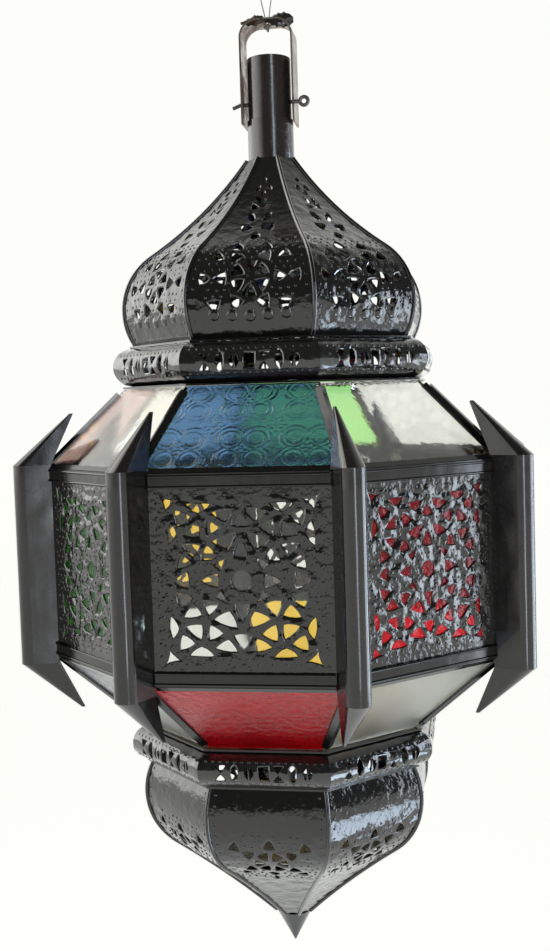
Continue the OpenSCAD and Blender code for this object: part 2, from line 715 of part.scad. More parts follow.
module hinge_pins() {
    color("silver") side(DOOR_SIDE) for (s = [-1, 1])
        translate([hinge_x, -hinge_a, door_mid + s * hinge_offset - hinge_h / 2 - tin]) {
            cylinder(h = hinge_h + 2 * tin, r = hinge_pin_r);
            translate([0, 0, hinge_h + tin + seam]) cylinder(h = tin, r = knuckle_r);
        }
}
// The turn button on the frame, hanging open
module door_latch() {
    reach = latch_l - latch_w / 2;
    color("gray") side(DOOR_SIDE) translate([latch_x, -latch_a, latch_z]) rotate([90, 0, 0])
        linear_extrude(height = latch_t) difference() {
            union() {
                circle(latch_w / 2);
                translate([-latch_w / 2, -reach]) square([latch_w, reach]);
                translate([0, -reach]) circle(latch_w / 2);
            }
            circle(rivet_r + hinge_play);
        }
}
module latch_rivet() {
    grip = tin + clear + latch_t;
    color("silver") side(DOOR_SIDE) translate([latch_x, -body_a + tin, latch_z]) rotate([90, 0, 0]) {
        translate([0, 0, -tin - seam]) cylinder(h = tin, r = rivet_head_r);
        translate([0, 0, -tin]) cylinder(h = grip + tin + clear + seam, r = rivet_r);
        translate([0, 0, grip + clear]) cylinder(h = tin, r = rivet_head_r);
    }
}

module candle_plate() {
    color("gray") rotate([0, 0, half_angle]) translate([0, 0, z_plate - tin])
        cylinder(h = tin, r = plate_a / cos(half_angle), $fn = SIDES);
}
module drip_pan() {
    color("goldenrod") translate([0, 0, z_plate + seam]) difference() {
        cylinder(h = pan_rim, r = pan_r);
        translate([0, 0, tin]) cylinder(h = pan_rim, r = pan_r - tin);
    }
}
module candle_cup() {
    color("goldenrod") translate([0, 0, z_plate + 2 * seam + tin]) difference() {
        cylinder(h = cup_h, r = cup_r + tin);
        translate([0, 0, cup_floor]) cylinder(h = cup_h, r = cup_r);
    }
}

module finial() {
    color("black") translate([0, 0, z_bulb_foot - seam]) rotate([180, 0, 0])
        cylinder(h = finial_h - seam, r1 = finial_r, r2 = tin / 2);
}

hanger_strap();
strap_leaf();
hanger_pin();
hanging_line();
neck_tube();
neck_sleeve();
dome_gores();
dome_seat();
upper_roll();
upper_lip();
upper_edge_bars();
top_rails();
corner_posts();
bottom_rails();
lower_edge_bars();
lower_lip();
lower_roll();
bulb_seat();
bulb_gores();
finial();
fins();
punched_panel(0);  // panel_front
punched_panel(1);  // panel_front_right
punched_panel(2);  // panel_right
punched_panel(3);  // panel_back_right
punched_panel(5);  // panel_back_left
punched_panel(6);  // panel_left
punched_panel(7);  // panel_front_left
color("whitesmoke", 0.4) upright_pane(0);  // pane_front
color("red", 0.6) upright_pane(1);  // pane_front_right
color("whitesmoke", 0.4) upright_pane(2);  // pane_right
color("royalblue", 0.6) upright_pane(3);  // pane_back_right
color("orange", 0.6) upright_pane(5);  // pane_back_left
color("whitesmoke", 0.4) upright_pane(6);  // pane_left
color("green", 0.6) upright_pane(7);  // pane_front_left
color("steelblue", 0.6) upper_pane(0);  // upper_pane_front
color("gold", 0.6) upper_pane(2);  // upper_pane_right
color("limegreen", 0.6) upper_pane(4);  // upper_pane_back
color("salmon", 0.6) upper_pane(6);  // upper_pane_left
upper_panes_clear();
color("red", 0.6) lower_pane(0);  // lower_pane_front
color("palegreen", 0.6) lower_pane(2);  // lower_pane_right
color("gold", 0.6) lower_pane(4);  // lower_pane_back
color("steelblue", 0.6) lower_pane(6);  // lower_pane_left
lower_panes_clear();
pane_clips();
door_frame();
door_panel();
door_pane();
door_clips();
hinge_leaves();
door_hinge_leaves();
hinge_pins();
door_latch();
latch_rivet();
candle_plate();
drip_pan();
candle_cup();
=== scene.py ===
import math
import random

import bmesh
import bpy
from bpy.props import FloatProperty, FloatVectorProperty, IntProperty, PointerProperty
from mathutils import Matrix, Vector, noise


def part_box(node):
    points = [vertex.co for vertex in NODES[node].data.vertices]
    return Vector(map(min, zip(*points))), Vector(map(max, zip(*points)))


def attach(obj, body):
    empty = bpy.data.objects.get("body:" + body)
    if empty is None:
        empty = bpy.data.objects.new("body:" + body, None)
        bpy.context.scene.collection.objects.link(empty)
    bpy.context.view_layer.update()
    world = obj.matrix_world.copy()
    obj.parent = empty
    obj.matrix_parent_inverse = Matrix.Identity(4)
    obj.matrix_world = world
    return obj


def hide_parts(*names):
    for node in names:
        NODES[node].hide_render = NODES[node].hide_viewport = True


bl_info = {
    "name": "Punched Tin Lantern",
    "version": (1, 0, 0),
    "blender": (4, 5, 0),
    "location": "3D View > Sidebar > Lantern",
    "description": "Finishes the packed frame of a hanging tin lantern: punched sheets, seams, glass and lacquer",
    "category": "Object",
}

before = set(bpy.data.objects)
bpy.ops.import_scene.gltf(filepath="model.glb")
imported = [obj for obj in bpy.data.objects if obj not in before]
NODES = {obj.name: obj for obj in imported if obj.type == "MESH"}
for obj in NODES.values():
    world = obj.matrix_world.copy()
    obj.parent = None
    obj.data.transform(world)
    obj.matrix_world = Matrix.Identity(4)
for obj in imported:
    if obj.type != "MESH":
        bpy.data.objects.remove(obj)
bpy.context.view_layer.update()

MM = 0.001
SIDES = 8
HALF_ANGLE = math.pi / SIDES
DOOR_SIDE = 4
SIDE_NAMES = ["front", "front_right", "right", "back_right", "back", "back_left", "left", "front_left"]
TIN = 0.8
# Gap between two neighbouring sheets at their mitred corner
CORNER_GAP = 0.06


def top_of(node):
    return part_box(node)[1].z / MM


def foot_of(node):
    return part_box(node)[0].z / MM


# Heights and distances of the frame, in millimetres
BODY_R = 150
BODY_A = BODY_R * math.cos(HALF_ANGLE)
Z_TOP = top_of("panel_front") + TIN
Z_BOTTOM = foot_of("panel_front") - TIN
PANEL_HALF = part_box("panel_front")[1].x / MM
UPPER_TILT = math.radians(44.2431)
DOME = {"c": 48.263, "r": 42, "skirt": 21.5, "turn": 54, "flare": 240, "neck": 14.75}
BULB = {"c": 42.7686, "r": 45, "skirt": 20, "turn": 52, "flare": 560, "neck": 11.15}
UPPER_ROLL = {"c": 85.9312, "r": 12}
LOWER_ROLL = {"c": 84.1596, "r": 11}
Z_DOME = foot_of("dome_gores") + DOME["skirt"]
Z_BULB = top_of("bulb_gores") - BULB["skirt"]
Z_UPPER_ROLL = (top_of("upper_roll") + foot_of("upper_roll")) / 2
Z_LOWER_ROLL = (top_of("lower_roll") + foot_of("lower_roll")) / 2


# What is added to the seed for each group of pieces, so that no two groups are alike
BULB_SEED = 40
PANEL_SEED = 60
UPPER_ROLL_SEED = 10
LOWER_ROLL_SEED = 30


class LanternSizes(bpy.types.PropertyGroup):
    """Sizes of the hand work on the tin and of its relief"""

    punch_rim: FloatProperty(name="Punched rim", description="Width of the sunk rim round a punched hole",
                             default=0.7 * MM, min=0.2 * MM, max=1.2 * MM, unit="LENGTH", precision=5)
    punch_sink: FloatProperty(name="Punch depth", description="Depth to which a punch sinks the rim of its hole",
                              default=0.4 * MM, min=0.0, max=1.0 * MM, unit="LENGTH", precision=5)
    stud_r: FloatProperty(name="Stud radius", description="Radius of the small raised studs",
                          default=0.9 * MM, min=0.4 * MM, max=1.4 * MM, unit="LENGTH", precision=5)
    stud_h: FloatProperty(name="Stud height", description="Height of the small raised studs",
                          default=0.4 * MM, min=0.1 * MM, max=1.0 * MM, unit="LENGTH", precision=5)
    stud_pitch: FloatProperty(name="Stud spacing", description="Spacing of the studs between the holes",
                              default=4.6 * MM, min=3 * MM, max=9 * MM, unit="LENGTH", precision=5)
    sheet_wave: FloatProperty(name="Sheet waviness", description="How far punching has bent the sheet in and out",
                              default=0.32 * MM, min=0.0, max=0.6 * MM, unit="LENGTH", precision=5)
    dent: FloatProperty(name="Dents", description="Depth of the dents that punching has left round the holes",
                        default=0.5 * MM, min=0.0, max=1.0 * MM, unit="LENGTH", precision=5)
    hand_shift: FloatProperty(name="Hand placing", description="How far a hand-placed hole may be off its mark",
                              default=0.3 * MM, min=0.0, max=0.6 * MM, unit="LENGTH", precision=5)
    rib_r: FloatProperty(name="Seam radius", description="Radius of the folded seams between the gores",
                         default=1.3 * MM, min=0.6 * MM, max=2 * MM, unit="LENGTH", precision=5)
    relief: FloatProperty(name="Glass relief", description="Height of the lines cast in the patterned pane",
                          default=0.35 * MM, min=0.0, max=0.8 * MM, unit="LENGTH", precision=5)


class LanternColours(bpy.types.PropertyGroup):
    """Colours of the lacquer, the metals and the glass"""

    lacquer: FloatVectorProperty(name="Lacquer", description="Colour of the black lacquer", subtype="COLOR",
                                 size=3, min=0, max=1, default=(0.0075, 0.0068, 0.0062))
    steel: FloatVectorProperty(name="Strap", description="Colour of the strap's bare metal", subtype="COLOR",
                               size=3, min=0, max=1, default=(0.32, 0.29, 0.26))
    rust: FloatVectorProperty(name="Tarnish", description="Colour of tarnish on bare metal", subtype="COLOR",
                              size=3, min=0, max=1, default=(0.16, 0.065, 0.03))
    brass: FloatVectorProperty(name="Brass", description="Colour of the brass", subtype="COLOR",
                               size=3, min=0, max=1, default=(0.62, 0.42, 0.15))
    red: FloatVectorProperty(name="Red glass", description="Colour of the red glass", subtype="COLOR",
                             size=3, min=0, max=1, default=(0.90, 0.004, 0.018))
    teal: FloatVectorProperty(name="Teal glass", description="Colour of the patterned pane", subtype="COLOR",
                              size=3, min=0, max=1, default=(0.12, 0.26, 0.48))
    green: FloatVectorProperty(name="Green glass", description="Colour of the upright green pane", subtype="COLOR",
                               size=3, min=0, max=1, default=(0.07, 0.46, 0.05))
    bright_green: FloatVectorProperty(name="Bright green glass", description="Colour of the bright green pane",
                                      subtype="COLOR", size=3, min=0, max=1, default=(0.42, 0.88, 0.34))
    amber: FloatVectorProperty(name="Amber glass", description="Colour of the amber glass", subtype="COLOR",
                               size=3, min=0, max=1, default=(0.95, 0.62, 0.06))
    rose: FloatVectorProperty(name="Rose glass", description="Colour of the rose pane", subtype="COLOR",
                              size=3, min=0, max=1, default=(0.92, 0.60, 0.55))
    blue: FloatVectorProperty(name="Blue glass", description="Colour of the blue panes", subtype="COLOR",
                              size=3, min=0, max=1, default=(0.08, 0.20, 0.72))
    pale_green: FloatVectorProperty(name="Pale green glass", description="Colour of the palest green pane",
                                    subtype="COLOR", size=3, min=0, max=1, default=(0.80, 0.92, 0.78))
    clear: FloatVectorProperty(name="Clear glass", description="Colour of the clear glass", subtype="COLOR",
                               size=3, min=0, max=1, default=(0.972, 0.978, 0.945))


class LanternLight(bpy.types.PropertyGroup):
    """Light of the studio"""

    sky: FloatProperty(name="Sky", description="Level of the soft light from all round", default=0.25, min=0, max=1)
    window: FloatProperty(name="Window", description="Power of the tall soft window at the right", default=9.0,
                          min=0, max=60, unit="POWER")
    lamp: FloatProperty(name="Overhead lamp", description="Power of the soft lamp overhead", default=3.0,
                        min=0, max=60, unit="POWER")
    floor_drop: FloatProperty(name="Floor depth", description="Depth of the floor below the hanging hole",
                              default=1.7, min=0.8, max=3, unit="LENGTH")
    seed: IntProperty(name="Seed", description="Seed of the small hand-made differences", default=4, min=0, max=99)


def sizes():
    return bpy.context.scene.lantern_sizes


def colours():
    return bpy.context.scene.lantern_colours


def light():
    return bpy.context.scene.lantern_light


# ---- Node trees -------------------------------------------------------------------------------------------


def put(tree, kind, links=None, **values):
    """Adds a node; values sets its sockets by name or its own attributes, links joins sockets by name."""
    made = tree.nodes.new(kind)
    for key, value in values.items():
        if hasattr(made, key):
            setattr(made, key, value)
        else:
            made.inputs[key.replace("_", " ")].default_value = value
    for key, source in (links or {}).items():
        tree.links.new(source, made.inputs[key if isinstance(key, int) else key.replace("_", " ")])
    return made


def ranged(tree, value, low, high, to_low=0.0, to_high=1.0):
    """Brings a value from one range to another and stops it at the ends, which are numbers or sockets."""
    made = put(tree, "ShaderNodeMapRange", {"Value": value}, clamp=True)
    for label, end in (("From Min", low), ("From Max", high), ("To Min", to_low), ("To Max", to_high)):
        if isinstance(end, bpy.types.NodeSocket):
            tree.links.new(end, made.inputs[label])
        else:
            made.inputs[label].default_value = end
    return made.outputs[0]


def new_group(name, takes, gives):
    group = bpy.data.node_groups.new(name, "ShaderNodeTree")
    kinds = {"colour": "NodeSocketColor", "value": "NodeSocketFloat", "vector": "NodeSocketVector"}
    for label, kind in takes:
        group.interface.new_socket(label, in_out="INPUT", socket_type=kinds[kind])
    for label, kind in gives:
        group.interface.new_socket(label, in_out="OUTPUT", socket_type=kinds[kind])
    return group, group.nodes.new("NodeGroupInput"), group.nodes.new("NodeGroupOutput")


def lacquer_group():
    """Brushed lacquer: slow waves of the sheet, fine orange peel, dull patches and a little dust."""
    group, given, out = new_group(
        "lacquer_finish",
        [("Colour", "colour"), ("Dust", "colour"), ("Dust amount", "value"), ("Polish", "value"), ("Dull", "value"),
         ("Wave", "value"), ("Dent", "value"), ("Peel", "value")],
        [("Colour", "colour"), ("Roughness", "value"), ("Normal", "vector")])
    place = put(group, "ShaderNodeTexCoord").outputs["Object"]
    patches = put(group, "ShaderNodeTexNoise", {"Vector": place}, Scale=38.0, Detail=5.0, Roughness=0.6)
    specks = put(group, "ShaderNodeTexNoise", {"Vector": place}, Scale=420.0, Detail=3.0, Roughness=0.7)
    streaks = put(group, "ShaderNodeMapping", {"Vector": place}, Scale=(260.0, 260.0, 22.0))
    brush = put(group, "ShaderNodeTexNoise", {"Vector": streaks.outputs[0]}, Scale=1.0, Detail=3.0, Roughness=0.5)
    worn = put(group, "ShaderNodeMath", {0: patches.outputs["Fac"], 1: brush.outputs["Fac"]}, operation="MULTIPLY")
    shine = ranged(group, worn.outputs[0], 0.12, 0.42, given.outputs["Polish"], given.outputs["Dull"])
    dusty = ranged(group, specks.outputs["Fac"], 0.56, 0.78, 0.0, given.outputs["Dust amount"])
    mixed = put(group, "ShaderNodeMix", {"Factor": dusty, 6: given.outputs["Colour"], 7: given.outputs["Dust"]},
                data_type="RGBA")
    slow = put(group, "ShaderNodeTexNoise", {"Vector": place}, Scale=26.0, Detail=2.0, Roughness=0.45)
    wave = put(group, "ShaderNodeBump", {"Height": slow.outputs["Fac"], "Distance": given.outputs["Wave"]},
               Strength=1.0)
    hammered = put(group, "ShaderNodeTexNoise", {"Vector": place}, Scale=290.0, Detail=1.5, Roughness=0.5)
    dents = put(group, "ShaderNodeBump", {"Height": hammered.outputs["Fac"], "Distance": given.outputs["Dent"],
                                          "Normal": wave.outputs[0]}, Strength=1.0)
    fine = put(group, "ShaderNodeTexNoise", {"Vector": place}, Scale=900.0, Detail=2.0, Roughness=0.5)
    peel = put(group, "ShaderNodeBump", {"Height": fine.outputs["Fac"], "Distance": given.outputs["Peel"],
                                         "Normal": dents.outputs[0]}, Strength=1.0)
    group.links.new(mixed.outputs[2], out.inputs["Colour"])
    group.links.new(shine, out.inputs["Roughness"])
    group.links.new(peel.outputs[0], out.inputs["Normal"])
    return group


def glass_group():
    """Cast glass: uneven colour, ripples from the rolling table and a skin of dust."""
    group, given, out = new_group(
        "cast_glass",
        [("Colour", "colour"), ("Clean", "value"), ("Soiled", "value"), ("Ripple size", "value"),
         ("Ripple depth", "value"), ("Grain size", "value"), ("Grain depth", "value")],
        [("Colour", "colour"), ("Roughness", "value"), ("Normal", "vector")])
    place = put(group, "ShaderNodeTexCoord").outputs["Object"]
    cloud = put(group, "ShaderNodeTexNoise", {"Vector": place}, Scale=30.0, Detail=4.0, Roughness=0.6)
    tone = ranged(group, cloud.outputs["Fac"], 0.3, 0.7, 0.9, 1.0)
    pale = put(group, "ShaderNodeMix", {6: given.outputs["Colour"], 7: tone}, data_type="RGBA",
               blend_type="MULTIPLY", Factor=1.0)
    soil = ranged(group, cloud.outputs["Fac"], 0.35, 0.75, given.outputs["Clean"], given.outputs["Soiled"])
    ripple = put(group, "ShaderNodeTexNoise", {"Vector": place, "Scale": given.outputs["Ripple size"]}, Detail=1.5)
    grain = put(group, "ShaderNodeTexNoise", {"Vector": place, "Scale": given.outputs["Grain size"]}, Detail=2.0)
    low = put(group, "ShaderNodeBump", {"Height": ripple.outputs["Fac"], "Distance": given.outputs["Ripple depth"]},
              Strength=1.0)
    high = put(group, "ShaderNodeBump", {"Height": grain.outputs["Fac"], "Distance": given.outputs["Grain depth"],
                                         "Normal": low.outputs[0]}, Strength=1.0)
    group.links.new(pale.outputs[2], out.inputs["Colour"])
    group.links.new(soil, out.inputs["Roughness"])
    group.links.new(high.outputs[0], out.inputs["Normal"])
    return group


def metal_group():
    """Bare metal: tarnish in patches, drawn scratches and pits."""
    group, given, out = new_group(
        "bare_metal",
        [("Colour", "colour"), ("Tarnish", "colour"), ("Tarnish amount", "value"), ("Polish", "value"),
         ("Dull", "value")],
        [("Colour", "colour"), ("Roughness", "value"), ("Metallic", "value"), ("Normal", "vector")])
    place = put(group, "ShaderNodeTexCoord").outputs["Object"]
    patches = put(group, "ShaderNodeTexNoise", {"Vector": place}, Scale=75.0, Detail=6.0, Roughness=0.65)
    tarnish = ranged(group, patches.outputs["Fac"], 0.45, 0.62, 0.0, given.outputs["Tarnish amount"])
    mixed = put(group, "ShaderNodeMix", {"Factor": tarnish, 6: given.outputs["Colour"], 7: given.outputs["Tarnish"]},
                data_type="RGBA")
    rough = ranged(group, patches.outputs["Fac"], 0.35, 0.65, given.outputs["Polish"], given.outputs["Dull"])
    bright = put(group, "ShaderNodeMath", {1: tarnish}, operation="SUBTRACT")
    bright.inputs[0].default_value = 1.0
    lines = put(group, "ShaderNodeMapping", {"Vector": place}, Scale=(1500.0, 1500.0, 90.0))
    drawn = put(group, "ShaderNodeTexNoise", {"Vector": lines.outputs[0]}, Scale=1.0, Detail=2.0)
    bump = put(group, "ShaderNodeBump", {"Height": drawn.outputs["Fac"]}, Strength=0.6, Distance=0.00006)
    pits = put(group, "ShaderNodeBump", {"Height": patches.outputs["Fac"], "Normal": bump.outputs[0]},
               Strength=0.5, Distance=0.0002)
    group.links.new(mixed.outputs[2], out.inputs["Colour"])
    group.links.new(rough, out.inputs["Roughness"])
    group.links.new(bright.outputs[0], out.inputs["Metallic"])
    group.links.new(pits.outputs[0], out.inputs["Normal"])
    return group


def group_named(name, make):
    return bpy.data.node_groups.get(name) or make()


# Ends the names of the materials made here, because the frame has plain ones under some of the same names
MADE = "_made"
# Colour of the dust on the lacquer, and the depth of its orange peel in metres
DUST = (0.12, 0.115, 0.105)
PEEL = 0.000012


def blank_material(name):
    made = bpy.data.materials.new(name)
    made.use_nodes = True
    shader = made.node_tree.nodes["Principled BSDF"]
    return made, made.node_tree, shader


def finish(name, group, shader_values, **values):
    """Makes a material once: a shader fed by one of the node groups, and the values set on its own sockets."""
    found = bpy.data.materials.get(name + MADE)
    if found:
        return found
    made, tree, shader = blank_material(name + MADE)
    node = tree.nodes.new("ShaderNodeGroup")
    node.node_tree = group
    for label, value in values.items():
        socket = node.inputs[label.replace("_", " ").capitalize()]
        socket.default_value = (*value, 1) if socket.type == "RGBA" else value
    for output in node.outputs:
        tree.links.new(output, shader.inputs["Base Color" if output.name == "Colour" else output.name])
    for label, value in shader_values.items():
        shader.inputs[label].default_value = value
    return made


def lacquer(name, dust=0.07, polish=0.08, dull=0.2, wave=0.0006, dent=0.00001, coat=0.6, tint=None):
    return finish(name, group_named("lacquer_finish", lacquer_group), {"Coat Weight": coat, "Coat Roughness": 0.04},
                  colour=tint or colours().lacquer, dust=DUST, dust_amount=dust, polish=polish, dull=dull, wave=wave,
                  dent=dent, peel=PEEL)


def gore_lacquer():
    return lacquer("gore_lacquer", dust=0.2, wave=0.0013, dent=sizes().dent * 0.8, tint=(0.011, 0.01, 0.0092))


def glass(name, colour, clean=0.0, soiled=0.04, ripple=30.0, ripple_depth=0.00015, grain=400.0, grain_depth=0.00001,
          ior=1.5, through=1.0):
    return finish(name, group_named("cast_glass", glass_group), {"Transmission Weight": through, "IOR": ior},
                  colour=colour, clean=clean, soiled=soiled, ripple_size=ripple, ripple_depth=ripple_depth,
                  grain_size=grain, grain_depth=grain_depth)


def metal(name, colour, tarnish=(0.12, 0.07, 0.045), amount=0.5, polish=0.22, dull=0.5):
    return finish(name, group_named("bare_metal", metal_group), {}, colour=colour, tarnish=tarnish,
                  tarnish_amount=amount, polish=polish, dull=dull)


def finish_node(name, material):
    """Gives a node of the frame its material."""
    slots = NODES[name].material_slots
    if not len(slots):
        NODES[name].data.materials.append(material)
    for slot in slots:
        slot.material = material


# ---- Sheets: cut flat, punched, then bent ----------------------------------------------------------------


def loop_edges(bm, points):
    verts = [bm.verts.new((x, y, 0)) for x, y in points]
    return verts, [bm.edges.new((verts[i], verts[(i + 1) % len(verts)])) for i in range(len(verts))]


def middle(points):
    return (sum(p[0] for p in points) / len(points), sum(p[1] for p in points) / len(points))


def turned(points, quarter):
    c, s = [(1, 0), (0, 1), (-1, 0), (0, -1)][quarter % 4]
    return [(x * c - y * s, x * s + y * c) for x, y in points]


def moved(points, dx, dy, angle=0.0, scale=1.0):
    c, s = math.cos(angle) * scale, math.sin(angle) * scale
    return [(dx + x * c - y * s, dy + x * s + y * c) for x, y in points]


def area_of(points):
    """Area inside an outline, negative where it runs clockwise."""
    return sum(a[0] * b[1] - b[0] * a[1] for a, b in zip(points, points[1:] + points[:1])) / 2


def curved_hole(corners, bulge=0.09):
    """A hole with curved sides: negative bulges are hollow. One bulge for all sides, or one for each."""
    area = area_of(corners)
    bulges = bulge if isinstance(bulge, (list, tuple)) else [bulge] * len(corners)
    outline = []
    for k, (a, b) in enumerate(zip(corners, corners[1:] + corners[:1])):
        out = (b[1] - a[1], a[0] - b[0]) if area > 0 else (a[1] - b[1], b[0] - a[0])
        outline.append(a)
        for t in (1 / 3, 2 / 3):
            lift = bulges[k] * 4 * t * (1 - t)
            outline.append((a[0] + (b[0] - a[0]) * t + out[0] * lift, a[1] + (b[1] - a[1]) * t + out[1] * lift))
    return outline if area > 0 else outline[::-1]


def round_hole(x, y, rx, ry=None, n=12, angle=0.0):
    ry = ry or rx
    return moved([(rx * math.cos(2 * math.pi * k / n), ry * math.sin(2 * math.pi * k / n)) for k in range(n)],
                 x, y, angle)


def triangle_at(x, y, r, angle, bulge=0.09):
    """A curved triangle whose point looks along angle, in degrees from +y towards +x."""
    corners = [(r * math.sin(math.radians(angle + t)), r * math.cos(math.radians(angle + t))) for t in (0, 120, 240)]
    return curved_hole(moved(corners, x, y), bulge)


def edge_gap(points, x, y):
    """Distance from a spot to an outline, negative inside it."""
    best, inside = math.inf, False
    for (ax, ay), (bx, by) in zip(points, points[1:] + points[:1]):
        dx, dy = bx - ax, by - ay
        t = max(0, min(1, ((x - ax) * dx + (y - ay) * dy) / (dx * dx + dy * dy)))
        best = min(best, math.hypot(x - ax - t * dx, y - ay - t * dy))
        if (ay > y) != (by > y) and x < ax + (y - ay) / (by - ay) * dx:
            inside = not inside
    return -best if inside else best


def grown(hole, by):
    """A hole grown about its middle, so that its nearest side moves out by a length."""
    c = middle(hole)
    near = min(math.hypot((a[0] + b[0]) / 2 - c[0], (a[1] + b[1]) / 2 - c[1])
               for a, b in zip(hole, hole[1:] + hole[:1]))
    return [(c[0] + (x - c[0]) * (1 + by / near), c[1] + (y - c[1]) * (1 + by / near)) for x, y in hole]


# Least width of metal that a punch may leave, and the share of it that a sunk rim may take
LEAST_ROOM = 0.3
RIM_SHARE = 0.42
# A hole that starts farther away than three times the reach of this one and this length is no neighbour
NEIGHBOUR = 8


def rims_for(holes, outline, most):
    """Width of each hole's rim: less where the next hole or the sheet's edge is near."""
    rims = []
    for hole in holes:
        c = middle(hole)
        reach = max(math.hypot(x - c[0], y - c[1]) for x, y in hole)
        outer = grown(hole, most)
        spread = max(math.hypot(a[0] - b[0], a[1] - b[1]) for a, b in zip(hole, outer))
        room = min(-edge_gap(outline, x, y) for x, y in hole)
        for other in holes:
            if other is not hole and math.hypot(other[0][0] - c[0], other[0][1] - c[1]) < 3 * reach + NEIGHBOUR:
                room = min([room] + [edge_gap(other, x, y) for x, y in hole] + [edge_gap(hole, x, y) for x, y in other])
        if room < LEAST_ROOM:
            raise RuntimeError("the hole at %.1f, %.1f has only %.2f mm round it" % (*c, room))
        rims.append(most * min(1, RIM_SHARE * room / spread))
    return rims


# How far a hand-punched hole may be turned, in radians, and its least and largest size against its drawing
HAND_TURN = 0.06
HAND_SIZE = (0.94, 1.05)


def shifted_by_hand(holes, rng, opened=1.0):
    """The holes as a hand punches them: each a little off its place, turned and larger or smaller."""
    far = sizes().hand_shift / MM
    return [moved([(x - c[0], y - c[1]) for x, y in hole], c[0] + rng.uniform(-far, far),
                  c[1] + rng.uniform(-far, far), rng.uniform(-HAND_TURN, HAND_TURN),
                  opened * rng.uniform(*HAND_SIZE))
            for hole in holes for c in [middle(hole)]]


# Least distances from a stud's middle to a hole: in the bands between holes, in rows on a gore or panel, on a roll
BAND_GAP = 1.5
ROW_GAP = 1.3
ROLL_GAP = 1.2
# Distance between two rows of studs against their spacing, and how far a stud may be off its mark
ROW_SHARE = 0.87
STUD_SHIFT = 0.5


def clear_of(spots, holes, gap):
    return [(x, y) for x, y in spots if all(edge_gap(h, x, y) > gap for h in holes)]


def studs_between(holes, low, high, keep, rng):
    """Spots for raised studs in the bands between the holes, where keep(x, y) says there is work."""
    step = sizes().stud_pitch / MM
    spots = []
    boxes = [(min(p[0] for p in h) - BAND_GAP, max(p[0] for p in h) + BAND_GAP, min(p[1] for p in h) - BAND_GAP,
              max(p[1] for p in h) + BAND_GAP, h) for h in holes]
    for row in range(int((high[1] - low[1]) / (step * ROW_SHARE)) + 1):
        for col in range(int((high[0] - low[0]) / step) + 1):
            x = low[0] + (col + 0.5 * (row % 2)) * step + rng.uniform(-STUD_SHIFT, STUD_SHIFT)
            y = low[1] + row * step * ROW_SHARE + rng.uniform(-STUD_SHIFT, STUD_SHIFT)
            if keep(x, y) and all(edge_gap(h, x, y) >= BAND_GAP for x0, x1, y0, y1, h in boxes
                                  if x0 < x < x1 and y0 < y < y1):
                spots.append((x, y))
    return spots


# Share of its height by which a stud's foot lies in the sheet
STUD_FOOT = 0.1


def add_studs(bm, studs):
    """Low round studs: one is made, then set down again at each spot."""
    one = bmesh.new()
    bmesh.ops.create_uvsphere(one, u_segments=8, v_segments=6, radius=1)
    bmesh.ops.bisect_plane(one, geom=one.verts[:] + one.edges[:] + one.faces[:], dist=0.0001,
                           plane_co=(0, 0, -STUD_FOOT), plane_no=(0, 0, 1), clear_inner=True)
    bmesh.ops.holes_fill(one, edges=[e for e in one.edges if e.is_boundary], sides=0)
    bmesh.ops.recalc_face_normals(one, faces=one.faces[:])
    stud = plain_mesh("stud", one)
    for x, y, z, r, h in studs:
        placed = stud.copy()
        placed.transform(Matrix.Translation((x, y, z)) @ Matrix.Diagonal((r, r, h, 1)))
        bm.from_mesh(placed)
        bpy.data.meshes.remove(placed)
    bpy.data.meshes.remove(stud)


# The bending of a punched sheet: how fast it changes over a millimetre, and how far apart two seeds lie in the noise
BEND_RATE = 0.24
BEND_SEED = 7.3


